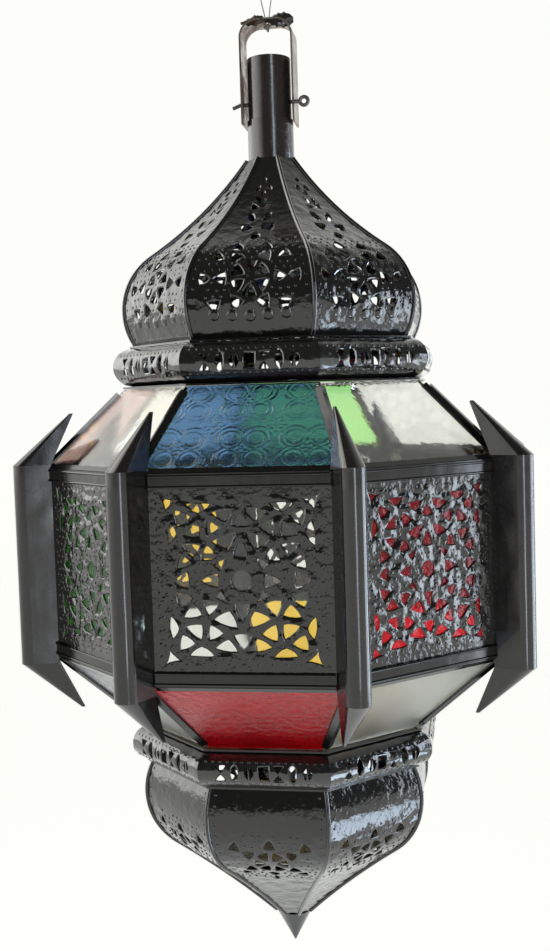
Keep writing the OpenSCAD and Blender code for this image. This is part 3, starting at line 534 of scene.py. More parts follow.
def punched_sheet(outline, holes, studs, levels, columns, waves, seed, bosses=()):
    """A flat sheet in millimetres, its outer face up: filled round the holes, each hole given a sunk rim, cut along
    levels and columns so that it bends, hammered, and given its thickness and its studs. waves(x, y) is how strongly
    punching has bent it at a spot, from 0 to 1."""
    bm = bmesh.new()
    sink = sizes().punch_sink / MM
    _, edges = loop_edges(bm, outline)
    rims = rims_for(holes, outline, sizes().punch_rim / MM)
    rings = []
    for hole, rim in zip(holes, rims):
        verts, more = loop_edges(bm, grown(hole, rim))
        rings.append(verts)
        edges += more
    bmesh.ops.triangle_fill(bm, use_beauty=True, use_dissolve=False, edges=edges, normal=(0, 0, 1))
    filled = sum(f.calc_area() for f in bm.faces)
    wanted = abs(area_of(outline)) - sum(abs(area_of([(v.co.x, v.co.y) for v in ring])) for ring in rings)
    if abs(filled / wanted - 1) > 0.001:
        raise RuntimeError("a punched sheet isn't filled: %.1f of %.1f square mm" % (filled, wanted))
    hollow = [bm.faces.new(ring) for ring in rings]
    bmesh.ops.recalc_face_normals(bm, faces=bm.faces[:])
    if sum(f.normal.z * f.calc_area() for f in bm.faces) < 0:
        bmesh.ops.reverse_faces(bm, faces=bm.faces[:])
    for face, rim in zip(hollow, rims):
        bmesh.ops.inset_individual(bm, faces=[face], thickness=rim, depth=-sink, use_even_offset=True)
    if hollow:
        bmesh.ops.delete(bm, geom=hollow, context="FACES_ONLY")
    for places, normal in ((levels, (0, 1, 0)), (columns, (1, 0, 0))):
        for place in places:
            bmesh.ops.bisect_plane(bm, geom=bm.verts[:] + bm.edges[:] + bm.faces[:], dist=0.0001,
                                   plane_co=[place * n for n in normal], plane_no=normal)

    def hammered(x, y):
        spot = Vector((x * BEND_RATE, y * BEND_RATE, seed * BEND_SEED))
        return waves(x, y) * sizes().sheet_wave / MM * 2 * noise.noise(spot)
    for v in bm.verts:
        v.co.z += hammered(v.co.x, v.co.y)
    bmesh.ops.solidify(bm, geom=bm.faces[:], thickness=TIN)
    stud_r, stud_h = sizes().stud_r / MM, sizes().stud_h / MM
    raised = [(x, y, stud_r, stud_h) for x, y in studs] + list(bosses)
    add_studs(bm, [(x, y, hammered(x, y), r, h) for x, y, r, h in raised])
    return bm


def lay_sheet(bm, place):
    """Bends a flat sheet: place(x, y, lift) gives each point its seat on the lantern."""
    for v in bm.verts:
        v.co = place(v.co.x, v.co.y, v.co.z)


def plain_mesh(name, bm):
    """A mesh from a bmesh that nothing needs any more."""
    mesh = bpy.data.meshes.new(name)
    bm.to_mesh(mesh)
    bm.free()
    return mesh


def side_turn(i):
    return Matrix.Rotation(2 * HALF_ANGLE * i, 4, "Z")


def joined(parts):
    """One bmesh from parts laid in millimetres, each turned to its side and brought to metres."""
    whole = bmesh.new()
    for bm, i in parts:
        part = plain_mesh("part", bm)
        part.transform(side_turn(i) @ Matrix.Scale(MM, 4))
        whole.from_mesh(part)
        bpy.data.meshes.remove(part)
    return whole


# Angle between two faces, in degrees, from which their edge shows as a crease on punched tin
SHARP = 28.0


def add_piece(name, bm, body, material, replaced=(), sharp=SHARP):
    """Makes a visible piece from a bmesh in metres, and says what it rides on and which nodes it replaces."""
    mesh = plain_mesh(name, bm)
    mesh.shade_smooth()
    mesh.set_sharp_from_angle(angle=math.radians(sharp))
    mesh.materials.append(material)
    piece = bpy.data.objects.new(name, mesh)
    bpy.context.scene.collection.objects.link(piece)
    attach(piece, body)
    if replaced:
        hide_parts(*replaced)
    return piece


# ---- The bellied sides -----------------------------------------------------------------------------------


# Lengths into which a gore is cut up its curve and across it
GORE_STEP = 2.4
GORE_COLUMN = 2.8
# Half the width over which gores and rolls are cut in columns
COLUMNS_HALF = 36
# Studs beside a seam: their distance from it, their step, and how far up the curve they go
SEAM_ROW = (4.2, 6.2, 46)
# Half the width of a gore below which it has no such studs, and the parts of a seam's round section and its length
LEAST_HALF = 1.5
RIB_SIDES = 8
RIB_STEPS = (26, 20)


def belly_at(shape, s):
    """Distance, height and slope of a bellied side at s up its curve from the widest line."""
    turn = math.radians(shape["turn"])
    r, c, flare = shape["r"], shape["c"], shape["flare"]
    if s <= r * turn:
        a = s / r
        return c + r * math.cos(a), r * math.sin(a), a
    a = turn - (s - r * turn) / flare
    return (c + (r + flare) * math.cos(turn) - flare * math.cos(a),
            (r + flare) * math.sin(turn) - flare * math.sin(a), a)


def belly_span(shape):
    turn = math.radians(shape["turn"])
    r, flare = shape["r"], shape["flare"]
    end = math.acos((shape["c"] + (r + flare) * math.cos(turn) - shape["neck"]) / flare)
    return -r * math.asin(shape["skirt"] / r), r * turn + flare * (turn - end)


def steps_between(low, high, step):
    n = max(1, round((high - low) / step))
    return [low + (high - low) * k / n for k in range(n + 1)]


def gore_outline(shape):
    low, high = belly_span(shape)
    levels = steps_between(low, high, GORE_STEP)
    right = [(belly_at(shape, s)[0] * math.tan(HALF_ANGLE) - CORNER_GAP, s) for s in levels]
    return right + [(-x, s) for x, s in reversed(right)], levels


def gore_place(shape, z, up):
    def place(x, s, lift):
        a, h, slope = belly_at(shape, s)
        return Vector((x, -(a + lift * math.cos(slope)), z + up * (h + lift * math.sin(slope))))
    return place


def ring_of_triangles(mid, far, r, start, turn=0):
    """Six curved triangles round a spot on a gore's middle line, the first at start degrees from straight up. Their
    points look away from the spot, and are turned from there by turn degrees."""
    return [triangle_at(far * math.sin(a), mid + far * math.cos(a), r, math.degrees(a) + turn)
            for a in [math.radians(60 * k + start) for k in range(6)]]


def dome_holes():
    """The dome's ornament: a rosette on the belly, then pairs of triangles and leaves up the flare."""
    mid = 13.0
    holes = ring_of_triangles(mid, 8.3, 4.3, 0, 180) + ring_of_triangles(mid, 16.6, 4.2, 30)
    for side in (-1, 1):
        holes += [
            triangle_at(side * 26.8, mid, 3.7, -90 * side, 0.12),
            triangle_at(side * 20.5, mid - 15.5, 4.0, 60 * side),
            triangle_at(side * 19.5, mid + 15.0, 4.0, 120 * side),
            triangle_at(side * 8.4, mid + 22.6, 3.9, 0),
            triangle_at(side * 7.0, 57.5, 4.2, 180 - 12 * side, 0.1),
            round_hole(side * 4.9, 68.0, 1.9, 3.9, angle=-0.35 * side),
            curved_hole([(side * 1.2, 78.0), (side * 5.6, 82.0), (side * 5.0, 76.0)], 0.06),
            curved_hole([(side * 1.2, 81.0), (side * 4.2, 87.5), (side * 1.0, 86.0)], 0.06),
            round_hole(side * 3.3, 96.5, 1.1, 2.0, 8, angle=0.3 * side),
        ]
    holes += [round_hole(0, 47.2, 2.8, 3.2), round_hole(0, 91.5, 1.2, 1.6, 8), round_hole(0, 104.0, 1.0, 1.5, 8)]
    return holes


def bulb_holes():
    """The bulb's ornament: a rosette of triangles, with one small hole below it."""
    mid = 30.0
    holes = ring_of_triangles(mid, 7.4, 3.9, 30, 180) + ring_of_triangles(mid, 15.2, 3.9, 0)
    for side in (-1, 1):
        holes += [triangle_at(side * 21.5, mid - 14.0, 3.8, 70 * side),
                  triangle_at(side * 17.5, mid + 14.5, 3.4, 150 * side)]
    holes.append(round_hole(0, 53.5, 1.5, 2.4, 10))
    return holes


def seam_studs(shape, low):
    """Spots of the two rows of studs beside a gore's seams, from low upwards."""
    inset, step, high = SEAM_ROW
    spots = []
    s = low
    while s < high:
        x = belly_at(shape, s)[0] * math.tan(HALF_ANGLE) - inset
        if x > LEAST_HALF:
            spots += [(x, s), (-x, s)]
        s += step
    return spots


def gore_sheets(shape, z, up, holes, keep, low, high, waves, bosses, seed):
    """Eight gores; the ones that face each other across the lantern are alike."""
    parts = []
    outline, levels = gore_outline(shape)
    for i in range(SIDES):
        rng = random.Random(seed + i % 4)
        mine = shifted_by_hand(holes, rng)
        studs = clear_of(studs_between(mine, low, high, keep, rng) + seam_studs(shape, levels[2]), mine, ROW_GAP)
        columns = steps_between(-COLUMNS_HALF, COLUMNS_HALF, GORE_COLUMN)
        bm = punched_sheet(outline, mine, studs, levels[1:-1], columns, waves, seed + i, bosses)
        lay_sheet(bm, gore_place(shape, z, up))
        parts.append((bm, i))
    return joined(parts)


def seam_ribs(shape, z, up, r):
    """The folded seams that stand along the corners between the gores."""
    low, high = belly_span(shape)
    turn = math.radians(shape["turn"])
    start = low / shape["r"]
    bm = bmesh.new()
    bmesh.ops.create_circle(bm, cap_ends=False, segments=RIB_SIDES, radius=r)
    for axis in "XZY":
        bmesh.ops.rotate(bm, verts=bm.verts[:], cent=(0, 0, 0), matrix=Matrix.Rotation(math.pi / 2, 3, axis))
    bmesh.ops.translate(bm, verts=bm.verts[:], vec=(0, -shape["r"], 0))
    bmesh.ops.rotate(bm, verts=bm.verts[:], cent=(0, 0, 0), matrix=Matrix.Rotation(-start, 3, "X"))
    bmesh.ops.translate(bm, verts=bm.verts[:], vec=(0, -shape["c"], 0))
    bend = bmesh.ops.spin(bm, geom=bm.edges[:], cent=(0, -shape["c"], 0), axis=(-1, 0, 0), dvec=(0, 0, 0),
                          angle=turn - start, steps=RIB_STEPS[0], use_duplicate=False)
    last = [g for g in bend["geom_last"] if isinstance(g, bmesh.types.BMEdge)]
    far = shape["r"] + shape["flare"]
    cent = (0, -(shape["c"] + far * math.cos(turn)), far * math.sin(turn))
    reach = (high - shape["r"] * turn) / shape["flare"]
    bmesh.ops.spin(bm, geom=last, cent=cent, axis=(1, 0, 0), dvec=(0, 0, 0), angle=reach, steps=RIB_STEPS[1],
                   use_duplicate=False)
    bmesh.ops.holes_fill(bm, edges=bm.edges[:], sides=RIB_SIDES)
    for v in bm.verts:
        v.co = Vector((v.co.x, v.co.y / math.cos(HALF_ANGLE), z + up * v.co.z))
    bmesh.ops.recalc_face_normals(bm, faces=bm.faces[:])
    one = plain_mesh("rib", bm)
    whole = bmesh.new()
    for i in range(SIDES):
        turned_rib = one.copy()
        turned_rib.transform(side_turn(i + 0.5) @ Matrix.Scale(MM, 4))
        whole.from_mesh(turned_rib)
        bpy.data.meshes.remove(turned_rib)
    bpy.data.meshes.remove(one)
    return whole


# ---- Panels ----------------------------------------------------------------------------------------------

# The door's flat part under the latch: from this far across, and this far up and down
LATCH_ROOM = (26, 14)
# Half the width of the door's panel, and its ornament's size against that of the fixed panels
DOOR_HALF = 43.6
DOOR_SCALE = 77 / 87
# Half the field between whose holes studs are struck, half the field that punching has bent, and how wide its edge is
FIELD = 43.5
BENT = 47
FADE = 4
# Rows of studs along a panel's edges: how many each way from the middle, their step, and how far out they lie
LEVEL_ROWS = (5, 7.9, 46.2)
UPRIGHT_ROWS = (6, 6.9, 45.6)
# How far a stud in these rows may be off its mark, and the length into which a panel is cut both ways
ROW_SHIFT = 0.4
PANEL_STEP = 2.2
# How wide the holes of each side's panel were worked
OPENED = [1.0, 0.86, 0.9, 0.95, 1.06, 0.98, 0.9, 0.84]
# Corners of the holes in a panel's lower left quarter, from the panel's middle, and how far their sides bulge
QUARTER = [
    ([(-31.5, -19.8), (-22.8, -19.0), (-26.6, -13.6)], 0.08),
    ([(-30.8, -24.9), (-22.6, -24.0), (-23.1, -31.6)], 0.08),
    ([(-17.7, -24.3), (-10.8, -28.6), (-18.0, -32.3)], 0.08),
    ([(-33.6, -29.7), (-27.1, -34.6), (-35.2, -37.7)], 0.09),
    ([(-7.0, -17.2), (-3.8, -25.3), (-14.9, -21.0)], 0.07),
    ([(-7.9, -32.1), (-3.5, -38.5), (-14.9, -36.6)], 0.07),
    ([(-18.2, -18.6), (-13.2, -12.4), (-21.0, -11.2)], 0.08),
    ([(-33.6, -14.2), (-27.4, -9.6), (-35.2, -6.6)], 0.08),
    ([(-8.4, -11.6), (-14.4, -9.0), (-11.6, -5.9)], 0.06),
    ([(-39.9, -20.0), (-35.6, -25.6), (-38.7, -30.8), (-40.2, -26.0)], [0.1, 0.1, 0.02, 0.02]),
    ([(-28.3, -41.2), (-23.1, -37.0), (-17.4, -41.2), (-22.3, -41.5)], [0.1, 0.1, 0.02, 0.02]),
    ([(-40.8, -38.3), (-34.9, -43.5), (-42.8, -45.8)], -0.08),
]
MIDDLE_LINE = [
    ([(-4.5, -29.7), (4.2, -29.6), (0.5, -36.6)], 0.08),
    ([(-3.7, -13.2), (3.4, -13.1), (0.1, -21.7)], 0.08),
]


def panel_holes(scale):
    holes = [round_hole(0, 0, 5.3, n=20)]
    for corners, bulge in QUARTER:
        for sx in (1, -1):
            for sy in (1, -1):
                holes.append(curved_hole([(x * sx, y * sy) for x, y in corners], bulge))
    for corners, bulge in MIDDLE_LINE:
        for quarter in range(4):
            holes.append(curved_hole(turned(corners, quarter), bulge))
    return [[(x * scale, y * scale) for x, y in hole] for hole in holes]


def panel_sheet(half, low, high, scale, opened, seed, lift, latched):
    """A punched panel, flat, with its middle at 0; opened is how wide its holes were worked. Where a latch turns
    over the sheet's edge, the sheet is left flat."""
    rng = random.Random(seed)
    holes = shifted_by_hand(panel_holes(scale), rng, opened)
    edge = FIELD * scale
    studs = studs_between(holes, (-edge, -edge), (edge, edge), lambda x, y: True, rng)
    n, step, out = LEVEL_ROWS
    for k in range(-n, n + 1):
        studs += [(k * step * scale + rng.uniform(-ROW_SHIFT, ROW_SHIFT), side * out * scale) for side in (-1, 1)]
    n, step, out = UPRIGHT_ROWS
    for k in range(-n, n + 1):
        studs += [(side * out * scale, k * step * scale + rng.uniform(-ROW_SHIFT, ROW_SHIFT)) for side in (-1, 1)]
    studs = [(x, y) for x, y in clear_of(studs, holes, ROW_GAP)
             if not (latched and x > LATCH_ROOM[0] and abs(y) < LATCH_ROOM[1])]
    outline = [(-half, low), (half, low), (half, high), (-half, high)]
    soft = BENT * scale

    def waves(x, y):
        calm = max(LATCH_ROOM[0] - x, abs(y) - LATCH_ROOM[1]) / FADE if latched else 1.0
        return max(0.0, min(1.0, (soft - abs(x)) / FADE, calm)) * max(0.0, min(1.0, (soft - abs(y)) / FADE))
    bm = punched_sheet(outline, holes, studs, steps_between(low, high, PANEL_STEP)[1:-1],
                       steps_between(-half, half, PANEL_STEP)[1:-1], waves, seed)
    lay_sheet(bm, lambda x, y, up: Vector((x, -(BODY_A + up), lift + y)))
    return bm


# ---- Rolls -----------------------------------------------------------------------------------------------


# Distance between the openings of a roll, and from its corner to the last of them
ROLL_PITCH = 8.6
ROLL_END = 3.5
# Lengths into which a roll is cut round its crest and along it
ROLL_STEP = 1.7
ROLL_COLUMN = 3.2
# Studs along a roll: how many each way, their step, and their share of its radius up its curve from the crest
ROLL_STUDS = (8, 4.3, 0.62)


def roll_holes(half, r):
    """Openings in one length of a roll: squares, leaves and pairs of small triangles in turn."""
    holes, tall = [], r * 0.35
    n = int((half - ROLL_END) / ROLL_PITCH)
    for k in range(-n, n + 1):
        x = k * ROLL_PITCH
        kind = k % 4
        if kind == 0:
            holes.append(curved_hole([(x - 2.9, -tall), (x + 2.9, -tall), (x + 2.9, tall), (x - 2.9, tall)], 0.02))
        elif kind == 1:
            holes += [curved_hole([(x - 2.8, side * tall * 1.2), (x + 2.8, side * tall * 1.2), (x, side * 0.8)], 0.05)
                      for side in (-1, 1)]
        elif kind == 2:
            holes.append(round_hole(x, 0, 2.3, tall * 1.25))
        else:
            holes += [curved_hole([(x + side * 0.8, -tall), (x + side * 3.1, 0), (x + side * 0.8, tall)], 0.04)
                      for side in (-1, 1)]
    return holes


def roll_sheets(shape, z, seed):
    """The eight mitred lengths of a roll; the ones that face each other across the lantern are alike."""
    parts = []
    c, r = shape["c"], shape["r"]
    ends = r * math.pi / 2
    levels = steps_between(-ends, ends, ROLL_STEP)
    columns = steps_between(-COLUMNS_HALF, COLUMNS_HALF, ROLL_COLUMN)
    n, step, share = ROLL_STUDS
    studs = [(k * step, side * r * share) for k in range(-n, n + 1) for side in (-1, 1)]
    right = [((c + r * math.cos(s / r)) * math.tan(HALF_ANGLE) - CORNER_GAP, s) for s in levels]
    outline = right + [(-x, s) for x, s in reversed(right)]
    for i in range(SIDES):
        rng = random.Random(seed + i % 4)
        holes = shifted_by_hand(roll_holes(c * math.tan(HALF_ANGLE), r), rng)
        bm = punched_sheet(outline, holes, clear_of(studs, holes, ROLL_GAP), levels[1:-1], columns,
                           lambda x, y: 0.5, seed + i)
        lay_sheet(bm, lambda x, s, up: Vector((x, -(c + (r + up) * math.cos(s / r)), z + (r + up) * math.sin(s / r))))
        parts.append((bm, i))
    return joined(parts)


# ---- The patterned pane ----------------------------------------------------------------------------------


# Pitch of the pattern, half the width of its lines at their foot, and the ways from a figure's middle to its lobes
PITCH = 35.6
LINE_HALF = 0.95
DIAGONALS = ((-1, -1), (-1, 1), (1, -1), (1, 1))
UPRIGHTS = ((1, 0), (-1, 0), (0, 1), (0, -1))
# Width of the pane's border under the frame, and its thickness
PANE_INSET = 1.4
PANE_THICK = 2.0
# How many points the pane has across and up, and how steeply its pattern rises from its ends and from its sides
PANE_POINTS = (130, 78)
RISE_ENDS = 40
RISE_SIDES = 60


def lobed(x, y, ways, far, r):
    """Distance to the outline of a figure of four circles, which stand far out from its middle."""
    return min(math.hypot(x - dx * far, y - dy * far) for dx, dy in ways) - r


def quatrefoil(x, y):
    """Height share of the cast lines: double quatrefoils set in rows, with a small flower in each and between."""
    px = ((x / PITCH + 0.5) % 1.0 - 0.5) * PITCH
    py = (y / PITCH % 1.0 - 0.5) * PITCH
    qx, qy = PITCH / 2 - abs(px), PITCH / 2 - abs(py)
    lines = [abs(lobed(px, py, DIAGONALS, 7.4, 7.6)), abs(lobed(px, py, DIAGONALS, 7.0, 5.2)) * 1.2,
             abs(lobed(px, py, UPRIGHTS, 2.4, 1.5)) * 1.3, abs(lobed(qx, qy, DIAGONALS, 2.6, 1.7)) * 1.3,
             abs(qx + qy - 7.5) * 1.5]
    return max(0.0, 1 - min(lines) / LINE_HALF)


def pane_relief(node, tilt, z, height):
    """A slanted pane with a cast pattern on its outer face, in the place of its node."""
    low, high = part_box(node)
    rise = (high.z - low.z) / MM
    span = BODY_A - PANE_INSET * math.sin(tilt)
    wide = span * math.tan(HALF_ANGLE) - PANE_INSET
    length = (rise - PANE_THICK * math.sin(tilt)) / math.cos(tilt)
    narrow = wide - length * math.sin(tilt) * math.tan(HALF_ANGLE)
    bm = bmesh.new()
    bmesh.ops.create_grid(bm, x_segments=PANE_POINTS[0], y_segments=PANE_POINTS[1], size=0.5)
    for v in bm.verts:
        t = v.co.y + 0.5
        x, y = 2 * v.co.x * (wide + (narrow - wide) * t), PANE_INSET + length * t
        rim = min(1.0, min(t, 1 - t) * RISE_ENDS, (0.5 - abs(v.co.x)) * RISE_SIDES)
        v.co = Vector((x, y, height * rim * quatrefoil(x, y)))
    border = bmesh.ops.extrude_edge_only(bm, edges=[e for e in bm.edges if e.is_boundary])
    for v in border["geom"]:
        if isinstance(v, bmesh.types.BMVert):
            v.co.z = -PANE_THICK
    bmesh.ops.holes_fill(bm, edges=[e for e in bm.edges if e.is_boundary], sides=0)
    bmesh.ops.recalc_face_normals(bm, faces=bm.faces[:])
    for v in bm.verts:
        x, y, lift = v.co
        v.co = Vector((x, -BODY_A + y * math.sin(tilt) - lift * math.cos(tilt),
                       z + y * math.cos(tilt) + lift * math.sin(tilt))) * MM
    return bm


# ---- Operators -------------------------------------------------------------------------------------------


# The photograph's camera, fitted to the lantern's corners: lens and sensor in millimetres, place in metres, and its
# heading, its pitch downwards and its roll in degrees
LENS, SENSOR = 43.47, 36
CAMERA_AT = (0.1244, -0.7356, -0.2390)
CAMERA_TURNS = (9.917, 3.77, -1.8)


class LANTERN_OT_camera(bpy.types.Operator):
    """Puts the camera where the photograph was taken"""

    bl_idname = "lantern.camera"
    bl_label = "Camera"

    def execute(self, context):
        data = bpy.data.cameras.new("camera")
        data.lens, data.sensor_width, data.clip_start = LENS, SENSOR, 0.01
        camera = bpy.data.objects.new("camera", data)
        context.scene.collection.objects.link(camera)
        heading, pitch, roll = (math.radians(turn) for turn in CAMERA_TURNS)
        camera.matrix_world = (Matrix.Translation(CAMERA_AT) @ Matrix.Rotation(heading, 4, "Z")
                               @ Matrix.Rotation(math.pi / 2 - pitch, 4, "X") @ Matrix.Rotation(roll, 4, "Z"))
        context.scene.camera = camera
        return {"FINISHED"}


# The hanging line's way in the XZ plane, in millimetres: up one strand, round its loop and down the other
LINE = [(-0.9, -4), (-0.9, -1), (-1.2, 2), (-2.4, 8), (-3.7, 14), (-4.8, 20), (-5, 24), (-4.2, 28), (-2.2, 30.8),
        (0, 31.6), (2.2, 30.8), (4.2, 28), (5, 24), (4.4, 20), (3, 14), (1.9, 8), (1.2, 2), (0.9, -1), (0.9, -4)]
LINE_R = 0.4
# The knot's three turns: radius, place and lean
KNOT = [(1.9, (-0.7, 0.3, -3.4), 0.5), (1.8, (0.9, -0.4, -3.0), -0.6), (1.5, (0.1, 0.2, -4.5), 1.3)]


class LANTERN_OT_hanging_line(bpy.types.Operator):
    """Makes the pale line and its knot under the strap"""

    bl_idname = "lantern.hanging_line"
    bl_label = "Hanging line"

    def execute(self, context):
        n = len(LINE)
        path = []
        for i, p in enumerate(LINE):
            path.append(Vector((p[0], 0, p[1])) * MM)
            if i < n - 1:
                q, before, after = LINE[i + 1], LINE[max(i - 1, 0)], LINE[min(i + 2, n - 1)]
                path.append(Vector(((9 * (p[0] + q[0]) - before[0] - after[0]) / 16, 0,
                                    (9 * (p[1] + q[1]) - before[1] - after[1]) / 16)) * MM)
        curve = bpy.data.curves.new("hanging_line", "CURVE")
        curve.dimensions, curve.bevel_depth, curve.bevel_resolution = "3D", LINE_R * MM, 3
        curve.use_fill_caps = True
        spline = curve.splines.new("POLY")
        spline.points.add(len(path) - 1)
        for point, at in zip(spline.points, path):
            point.co = (*at, 1)
        line = bpy.data.objects.new("line_cord", curve)
        context.scene.collection.objects.link(line)
        twine, tree, shader = blank_material("twisted_line")
        twist = put(tree, "ShaderNodeTexWave", {"Vector": put(tree, "ShaderNodeTexCoord").outputs["Object"]},
                    Scale=900.0, Distortion=1.5)
        ramp = put(tree, "ShaderNodeValToRGB", {"Fac": twist.outputs["Fac"]})
        ramp.color_ramp.elements[0].color = (0.42, 0.41, 0.40, 1)
        ramp.color_ramp.elements[1].color = (0.66, 0.65, 0.63, 1)
        tree.links.new(ramp.outputs[0], shader.inputs["Base Color"])
        tree.links.new(put(tree, "ShaderNodeBump", {"Height": twist.outputs["Fac"]}, Strength=0.7,
                           Distance=0.0001).outputs[0], shader.inputs["Normal"])
        shader.inputs["Roughness"].default_value = 0.6
        curve.materials.append(twine)
        bm = bmesh.new()
        for size, at, lean in KNOT:
            lump = bmesh.ops.create_icosphere(bm, subdivisions=2, radius=size * MM)
            bmesh.ops.scale(bm, verts=lump["verts"], vec=(1.15, 0.85, 0.62))
            bmesh.ops.rotate(bm, verts=lump["verts"], cent=(0, 0, 0), matrix=Matrix.Rotation(lean, 3, "Y"))
            bmesh.ops.translate(bm, verts=lump["verts"], vec=Vector(at) * MM)
        knot = add_piece("line_knot", bm, "root", twine, sharp=60)
        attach(line, "root")
        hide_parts("hanging_line")
        return {"FINISHED"}


# Share of its width by which a scrap's torn edge wanders, its thickness, and its tilt from level in radians
TEAR = 0.2
SCRAP = 0.5
LEAF_TILT = 1.1


def twisted_leaf(length, width, turn, seed):
    """A lens-shaped scrap of sheet, twisted about its length, its edge torn a little; in millimetres."""
    rng = random.Random(seed)
    bm = bmesh.new()
    bmesh.ops.create_grid(bm, x_segments=22, y_segments=5, size=0.5)
    torn = {round(v.co.x, 4): 1 + rng.uniform(-TEAR, TEAR) for v in bm.verts}
    for v in bm.verts:
        along = v.co.x + 0.5
        wide = width * math.sin(math.pi * (0.06 + 0.88 * along)) ** 0.7 * torn[round(v.co.x, 4)]
        lift = 1 - 4 * v.co.y * v.co.y
        angle = turn * (along - 0.5)
        across = v.co.y * wide
        v.co = Vector((length * v.co.x, across * math.cos(angle) - lift * math.sin(angle),
                       across * math.sin(angle) + lift * math.cos(angle)))
    bmesh.ops.solidify(bm, geom=bm.faces[:], thickness=SCRAP)
    bmesh.ops.recalc_face_normals(bm, faces=bm.faces[:])
    if bm.calc_volume(signed=True) < 0:
        bmesh.ops.reverse_faces(bm, faces=bm.faces[:])
    return bm


class LANTERN_OT_hanger(bpy.types.Operator):
    """Finishes the strap and the bent pin, and twists the leaf of tin on the strap"""

    bl_idname = "lantern.hanger"
    bl_label = "Hanger"

    def execute(self, context):
        strap = metal("strap_steel", colours().steel, colours().rust, 0.85, 0.25, 0.55)
        tree = strap.node_tree
        # Tarnish falls off from the strap's left side towards +X. The rust on the left is the strap's own, while the
        # right side is kept bare, pale steel as a painted reflection of the pale wall on that leg.
        across = put(tree, "ShaderNodeSeparateXYZ", {0: put(tree, "ShaderNodeTexCoord").outputs["Object"]})
        group = next(n for n in tree.nodes if n.type == "GROUP")
        tree.links.new(ranged(tree, across.outputs["X"], -0.006, 0.012, 1.0, 0.25), group.inputs["Tarnish amount"])
        finish_node("hanger_strap", strap)
        finish_node("hanger_pin", metal("pin_wire", (0.2, 0.19, 0.18), (0.06, 0.04, 0.03), 0.7, 0.3, 0.55))
        leaf = lacquer("leaf_lacquer", tint=(0.03, 0.022, 0.018), dust=0.3, dent=0.0004)
        torn = metal("torn_tin", (0.1, 0.07, 0.05), (0.07, 0.035, 0.02), 0.9)
        for name, length, width, turn, seed, at, lean, material, replaced in (
                ("leaf_twisted", 23, 9.5, 2.4, 12, (6.5, -7.6, -1.2), 0.06, leaf, ["strap_leaf"]),
                ("leaf_torn", 15, 7.5, 1.2, 9, (-8.5, -6.9, -0.6), -0.15, torn, [])):
            bm = twisted_leaf(length, width, turn, seed)
            for axis, angle in (("X", LEAF_TILT), ("Y", lean)):
                bmesh.ops.rotate(bm, verts=bm.verts[:], cent=(0, 0, 0), matrix=Matrix.Rotation(angle, 3, axis))
            bmesh.ops.translate(bm, verts=bm.verts[:], vec=at)
            bmesh.ops.scale(bm, verts=bm.verts[:], vec=(MM, MM, MM))
            add_piece(name, bm, "root", material, replaced, 50)
        return {"FINISHED"}


class LANTERN_OT_neck(bpy.types.Operator):
    """Finishes the neck tube and its sleeve"""

    bl_idname = "lantern.neck"
    bl_label = "Neck"

    def execute(self, context):
        for node in ("neck_tube", "neck_sleeve"):
            finish_node(node, lacquer("neck_lacquer", dust=0.3, polish=0.16, dull=0.38, wave=0.0012, dent=0.00012,
                                      tint=(0.03, 0.022, 0.019)))
        return {"FINISHED"}


# On a gore, up its curve from the widest line: the ends of the ornament's field and half its width, and the corners
# of the rows of studs
DOME_FIELD = (-12, 44, 27)
DOME_ROWS = ((-26, -6), (26, 44))
BULB_FIELD = (8, 54, 25)
BULB_ROWS = ((-24, 8), (24, 54))
# How strongly punching has bent the worked part of a gore and the rest of it, and between which heights it is worked
BENT_INSIDE = 0.7
BENT_OUTSIDE = 0.4
DOME_WORKED = (-16, 48)
BULB_WORKED = 6
# Large bosses along the foot of a dome gore: place across and up, radius and height
BOSSES = [(x, -9.5 + 0.06 * abs(x), 3.6, 0.7) for x in (-21, -10.5, 0, 10.5, 21)]


def within(field):
    """Whether a spot is in the ornament's field."""
    low, high, half = field
    return lambda x, s: low < s < high and abs(x) < half


class LANTERN_OT_dome(bpy.types.Operator):
    """Makes the eight punched gores of the dome and the seams between them"""

    bl_idname = "lantern.dome"
    bl_label = "Dome"

    def execute(self, context):
        bm = gore_sheets(DOME, Z_DOME, 1, dome_holes(), within(DOME_FIELD), *DOME_ROWS,
                         lambda x, s: BENT_INSIDE if DOME_WORKED[0] < s < DOME_WORKED[1] else BENT_OUTSIDE, BOSSES,
                         light().seed)
        add_piece("dome_punched", bm, "lantern", gore_lacquer(), ["dome_gores"])
        add_piece("dome_seams", seam_ribs(DOME, Z_DOME, 1, sizes().rib_r / MM), "lantern", lacquer("black_lacquer"),
                  sharp=50)
        finish_node("dome_seat", lacquer("black_lacquer"))
        return {"FINISHED"}


class LANTERN_OT_rolls(bpy.types.Operator):
    """Makes the two pierced half-round rolls"""

    bl_idname = "lantern.rolls"
    bl_label = "Rolls"

    def execute(self, context):
        tin = lacquer("roll_lacquer", dust=0.3, dent=sizes().dent * 0.6, coat=1.0, tint=(0.012, 0.011, 0.01))
        for name, shape, z, more in (("upper_roll", UPPER_ROLL, Z_UPPER_ROLL, UPPER_ROLL_SEED),
                                     ("lower_roll", LOWER_ROLL, Z_LOWER_ROLL, LOWER_ROLL_SEED)):
            bm = roll_sheets(shape, z, light().seed + more)
            add_piece(name + "_pierced", bm, "lantern", tin, [name])
        return {"FINISHED"}


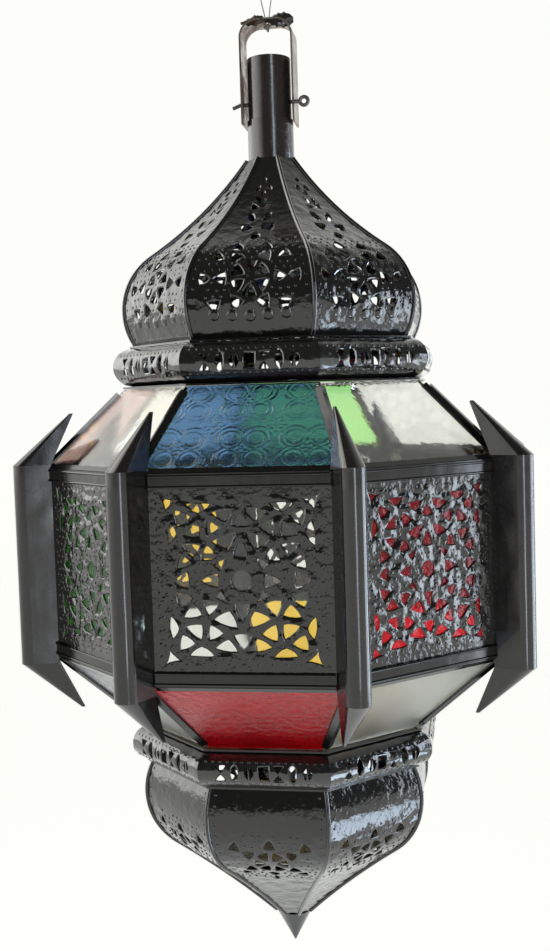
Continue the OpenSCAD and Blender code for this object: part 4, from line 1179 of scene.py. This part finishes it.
class LANTERN_OT_bulb(bpy.types.Operator):
    """Makes the eight punched gores of the bulb, their seams and the cone's finish"""

    bl_idname = "lantern.bulb"
    bl_label = "Bulb"

    def execute(self, context):
        bm = gore_sheets(BULB, Z_BULB, -1, bulb_holes(), within(BULB_FIELD), *BULB_ROWS,
                         lambda x, s: BENT_INSIDE if s > BULB_WORKED else BENT_OUTSIDE, [], light().seed + BULB_SEED)
        bmesh.ops.reverse_faces(bm, faces=bm.faces[:])
        add_piece("bulb_punched", bm, "lantern", gore_lacquer(), ["bulb_gores"])
        add_piece("bulb_seams", seam_ribs(BULB, Z_BULB, -1, sizes().rib_r / MM), "lantern", lacquer("black_lacquer"),
                  sharp=50)
        for node in ("finial", "bulb_seat"):
            finish_node(node, lacquer("black_lacquer"))
        return {"FINISHED"}


class LANTERN_OT_panels(bpy.types.Operator):
    """Makes the punched panels of the upright sides and of the door"""

    bl_idname = "lantern.panels"
    bl_label = "Punched panels"

    def execute(self, context):
        mid = (Z_TOP + Z_BOTTOM) / 2
        for i, side in enumerate(SIDE_NAMES):
            door = i == DOOR_SIDE
            node = "door_panel" if door else "panel_" + side
            low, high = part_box(node)
            bm = panel_sheet(DOOR_HALF if door else PANEL_HALF, low.z / MM - mid, high.z / MM - mid,
                             DOOR_SCALE if door else 1.0, OPENED[i], light().seed + PANEL_SEED + i, mid, door)
            add_piece(node + "_punched", joined([(bm, i)]), "door" if door else "lantern",
                      lacquer("panel_lacquer", polish=0.06, dull=0.14, dent=sizes().dent * 1.1), [node])
        finish_node("door_frame", lacquer("black_lacquer"))
        return {"FINISHED"}


class LANTERN_OT_body_frame(bpy.types.Operator):
    """Finishes the rails, bars, posts, lips and fins of the glazed body"""

    bl_idname = "lantern.body_frame"
    bl_label = "Body frame"

    def execute(self, context):
        for node in ("top_rails", "bottom_rails", "upper_edge_bars", "lower_edge_bars", "upper_lip", "lower_lip",
                     "corner_posts"):
            finish_node(node, lacquer("rail_lacquer", coat=0.1))
        finish_node("fins", lacquer("fin_lacquer", dust=0.3, polish=0.1, dull=0.26, wave=0.0011, coat=0.4,
                                    tint=(0.014, 0.012, 0.011)))
        finish_node("pane_clips", metal("clip_tin", (0.5, 0.5, 0.48), amount=0.35))
        finish_node("door_clips", metal("clip_tin", (0.5, 0.5, 0.48)))
        return {"FINISHED"}


# Finishes that two panes share
ICE = {"clean": 0.02, "soiled": 0.07, "ripple": 40.0, "ripple_depth": 0.0002, "grain": 320.0, "grain_depth": 0.00002}
AMBER = {"clean": 0.03, "soiled": 0.1, "ripple": 45.0, "ripple_depth": 0.0003}
# The panes: their nodes, their material, the name of its colour, and where its finish differs from plain glass
PANES = (
    (("pane_front", "pane_right", "pane_left", "door_pane"), "clear_glass", "clear", {}),
    (("upper_panes_clear",), "ice_glass", "clear", ICE),
    (("lower_panes_clear",), "pale_cast_glass", "clear",
     {"clean": 0.32, "soiled": 0.46, "ripple": 60.0, "ripple_depth": 0.0003, "grain": 320.0, "grain_depth": 0.00003}),
    (("pane_front_right",), "red_glass", "red",
     {"clean": 0.12, "soiled": 0.24, "ripple": 220.0, "ripple_depth": 0.0005, "ior": 1.3, "through": 0.84}),
    (("pane_back_right", "lower_pane_left"), "blue_glass", "blue", {}),
    (("pane_back_left",), "amber_glass", "amber", {}),
    (("pane_front_left",), "green_glass", "green",
     {"clean": 0.15, "soiled": 0.3, "ripple": 220.0, "ripple_depth": 0.0006, "ior": 1.35, "through": 0.88}),
    (("upper_pane_right", "lower_pane_back"), "amber_cast_glass", "amber", AMBER),
    (("upper_pane_back",), "bright_green_glass", "bright_green", {}),
    (("upper_pane_left",), "rose_glass", "rose",
     {"clean": 0.02, "soiled": 0.06, "ripple": 45.0, "ripple_depth": 0.0002}),
    (("lower_pane_front",), "red_cast_glass", "red",
     {"clean": 0.2, "soiled": 0.35, "ripple": 260.0, "ripple_depth": 0.0005, "grain": 700.0, "grain_depth": 0.0001,
      "through": 0.8}),
    (("lower_pane_right",), "pale_green_glass", "pale_green", ICE),
)


class LANTERN_OT_panes(bpy.types.Operator):
    """Finishes the glass, and casts the pattern in the teal pane"""

    bl_idname = "lantern.panes"
    bl_label = "Glass panes"

    def execute(self, context):
        for nodes, name, colour, look in PANES:
            for node in nodes:
                finish_node(node, glass(name, getattr(colours(), colour), **look))
        teal = glass("teal_cast_glass", colours().teal, 0.1, 0.25, 50.0, 0.0006, 500.0, 0.00006)
        bm = pane_relief("upper_pane_front", UPPER_TILT, Z_TOP, sizes().relief / MM)
        add_piece("upper_pane_front_cast", bm, "lantern", teal, ["upper_pane_front"], 60)
        return {"FINISHED"}


class LANTERN_OT_door_fittings(bpy.types.Operator):
    """Finishes the hinges, the latch and the candle holder"""

    bl_idname = "lantern.door_fittings"
    bl_label = "Door fittings and candle holder"

    def execute(self, context):
        tin = metal("hinge_tin", (0.42, 0.41, 0.39))
        for node in ("hinge_leaves", "door_hinge_leaves", "hinge_pins", "door_latch", "latch_rivet"):
            finish_node(node, tin)
        finish_node("candle_plate", metal("plate_tin", (0.4, 0.39, 0.37), amount=0.7))
        for node in ("drip_pan", "candle_cup"):
            finish_node(node, metal("cup_brass", colours().brass, (0.2, 0.1, 0.04), 0.5))
        return {"FINISHED"}


# Half the floor's width in metres
FLOOR_HALF = 30
# Colour of the surround and of the floor's glow, and how strongly the floor glows
SURROUND = (0.985, 0.99, 0.955, 1)
FLOOR_GLOW = 0.74
# Walls that only reflections see: axis, where each starts and ends along it, and its level there
WALLS = (("Y", 0.15, 0.75, 0.09, 1.1), ("X", -0.45, -0.9, 0.0, 2.9))
# The lamps, aimed at the lantern's middle: place, size, which level they take and their share of it, colour
AIM = (0, 0, -0.3)
LAMPS = (
    ("front_window", (0.57, -1.22, -0.15), (0.22, 1.1), "window", 0.5, (0.80, 0.89, 1.0)),
    ("side_window", (1.19, 0.12, -0.3), (0.4, 0.8), "window", 0.6, (0.78, 0.88, 1.0)),
    ("back_window", (1.0, 0.42, -0.35), (0.09, 1.0), "window", 0.5, (0.62, 0.80, 1.0)),
    ("low_window", (0.95, -0.17, -1.0), (0.3, 0.4), "window", 0.3, (0.66, 0.82, 1.0)),
    ("overhead", (-0.7, 0.1, 0.7), (0.6, 0.6), "lamp", 1.0, (1.0, 0.97, 0.92)),
)


class LANTERN_OT_stage(bpy.types.Operator):
    """Makes the pale floor, the white surround and the soft lamps"""

    bl_idname = "lantern.stage"
    bl_label = "Stage"

    def execute(self, context):
        scene = context.scene
        scene.view_settings.view_transform = "Standard"
        world = bpy.data.worlds.new("studio")
        world.use_nodes = True
        scene.world = world
        tree = world.node_tree
        back = tree.nodes["Background"]
        path = put(tree, "ShaderNodeLightPath")
        seen = put(tree, "ShaderNodeMath", {0: path.outputs["Is Camera Ray"], 1: path.outputs["Is Transmission Ray"]},
                   operation="MAXIMUM")
        away = put(tree, "ShaderNodeSeparateXYZ", {0: put(tree, "ShaderNodeTexCoord").outputs["Generated"]})
        walls = [ranged(tree, away.outputs[axis], *ends) for axis, *ends in WALLS]
        wall = put(tree, "ShaderNodeMath", {0: walls[0], 1: walls[1]}, operation="MAXIMUM")
        shine = put(tree, "ShaderNodeMix", {"Factor": path.outputs["Is Glossy Ray"], 3: wall.outputs[0]},
                    data_type="FLOAT")
        shine.inputs[2].default_value = light().sky
        level = put(tree, "ShaderNodeMath", {0: seen.outputs[0], 1: shine.outputs[0]}, operation="MAXIMUM")
        tree.links.new(level.outputs[0], back.inputs["Strength"])
        back.inputs["Color"].default_value = SURROUND
        bm = bmesh.new()
        bmesh.ops.create_grid(bm, x_segments=1, y_segments=1, size=FLOOR_HALF)
        bmesh.ops.translate(bm, verts=bm.verts[:], vec=(0, 0, -light().floor_drop))
        mesh = plain_mesh("floor", bm)
        floor = bpy.data.objects.new("floor", mesh)
        scene.collection.objects.link(floor)
        pale, floor_tree, shader = blank_material("pale_floor")
        shader.inputs["Base Color"].default_value = (0.93, 0.935, 0.9, 1)
        shader.inputs["Roughness"].default_value = 0.9
        shader.inputs["Emission Color"].default_value = SURROUND
        rays = put(floor_tree, "ShaderNodeLightPath")
        most = put(floor_tree, "ShaderNodeMath", {0: rays.outputs["Is Camera Ray"],
                                                  1: rays.outputs["Is Transmission Ray"]}, operation="MAXIMUM")
        most = put(floor_tree, "ShaderNodeMath", {0: most.outputs[0], 1: rays.outputs["Is Glossy Ray"]},
                   operation="MAXIMUM")
        glow = put(floor_tree, "ShaderNodeMath", {0: most.outputs[0]}, operation="MULTIPLY")
        glow.inputs[1].default_value = FLOOR_GLOW
        floor_tree.links.new(glow.outputs[0], shader.inputs["Emission Strength"])
        mesh.materials.append(pale)
        for name, at, size, level, share, tint in LAMPS:
            lamp = bpy.data.lights.new(name, "AREA")
            lamp.shape, lamp.size, lamp.size_y, lamp.color = "RECTANGLE", *size, tint
            lamp.energy = getattr(light(), level) * share
            fixture = bpy.data.objects.new(name, lamp)
            scene.collection.objects.link(fixture)
            aim = Vector(AIM) - Vector(at)
            fixture.matrix_world = Matrix.Translation(at) @ aim.to_track_quat("-Z", "Y").to_matrix().to_4x4()
        return {"FINISHED"}


PIECES = (LANTERN_OT_camera, LANTERN_OT_hanging_line, LANTERN_OT_hanger, LANTERN_OT_neck, LANTERN_OT_dome,
          LANTERN_OT_rolls, LANTERN_OT_bulb, LANTERN_OT_panels, LANTERN_OT_body_frame, LANTERN_OT_panes,
          LANTERN_OT_door_fittings, LANTERN_OT_stage)


class LANTERN_PT_panel(bpy.types.Panel):
    """Lists the lantern's sizes, colours and steps"""

    bl_idname = "LANTERN_PT_panel"
    bl_label = "Lantern"
    bl_space_type = "VIEW_3D"
    bl_region_type = "UI"
    bl_category = "Lantern"

    def draw(self, context):
        column = self.layout.column(align=True)
        for piece in PIECES:
            column.operator(piece.bl_idname, text=piece.bl_label)
        for group in (context.scene.lantern_sizes, context.scene.lantern_colours, context.scene.lantern_light):
            box = self.layout.box().column(align=True)
            for name in group.__annotations__:
                box.prop(group, name)


CLASSES = (LanternSizes, LanternColours, LanternLight, *PIECES, LANTERN_PT_panel)


def register():
    for one in CLASSES:
        bpy.utils.register_class(one)
    bpy.types.Scene.lantern_sizes = PointerProperty(type=LanternSizes)
    bpy.types.Scene.lantern_colours = PointerProperty(type=LanternColours)
    bpy.types.Scene.lantern_light = PointerProperty(type=LanternLight)


def unregister():
    for name in ("lantern_sizes", "lantern_colours", "lantern_light"):
        delattr(bpy.types.Scene, name)
    for one in reversed(CLASSES):
        bpy.utils.unregister_class(one)


def main():
    register()
    for piece in PIECES:
        area, name = piece.bl_idname.split(".")
        getattr(getattr(bpy.ops, area), name)()


if __name__ == "__main__":
    main()
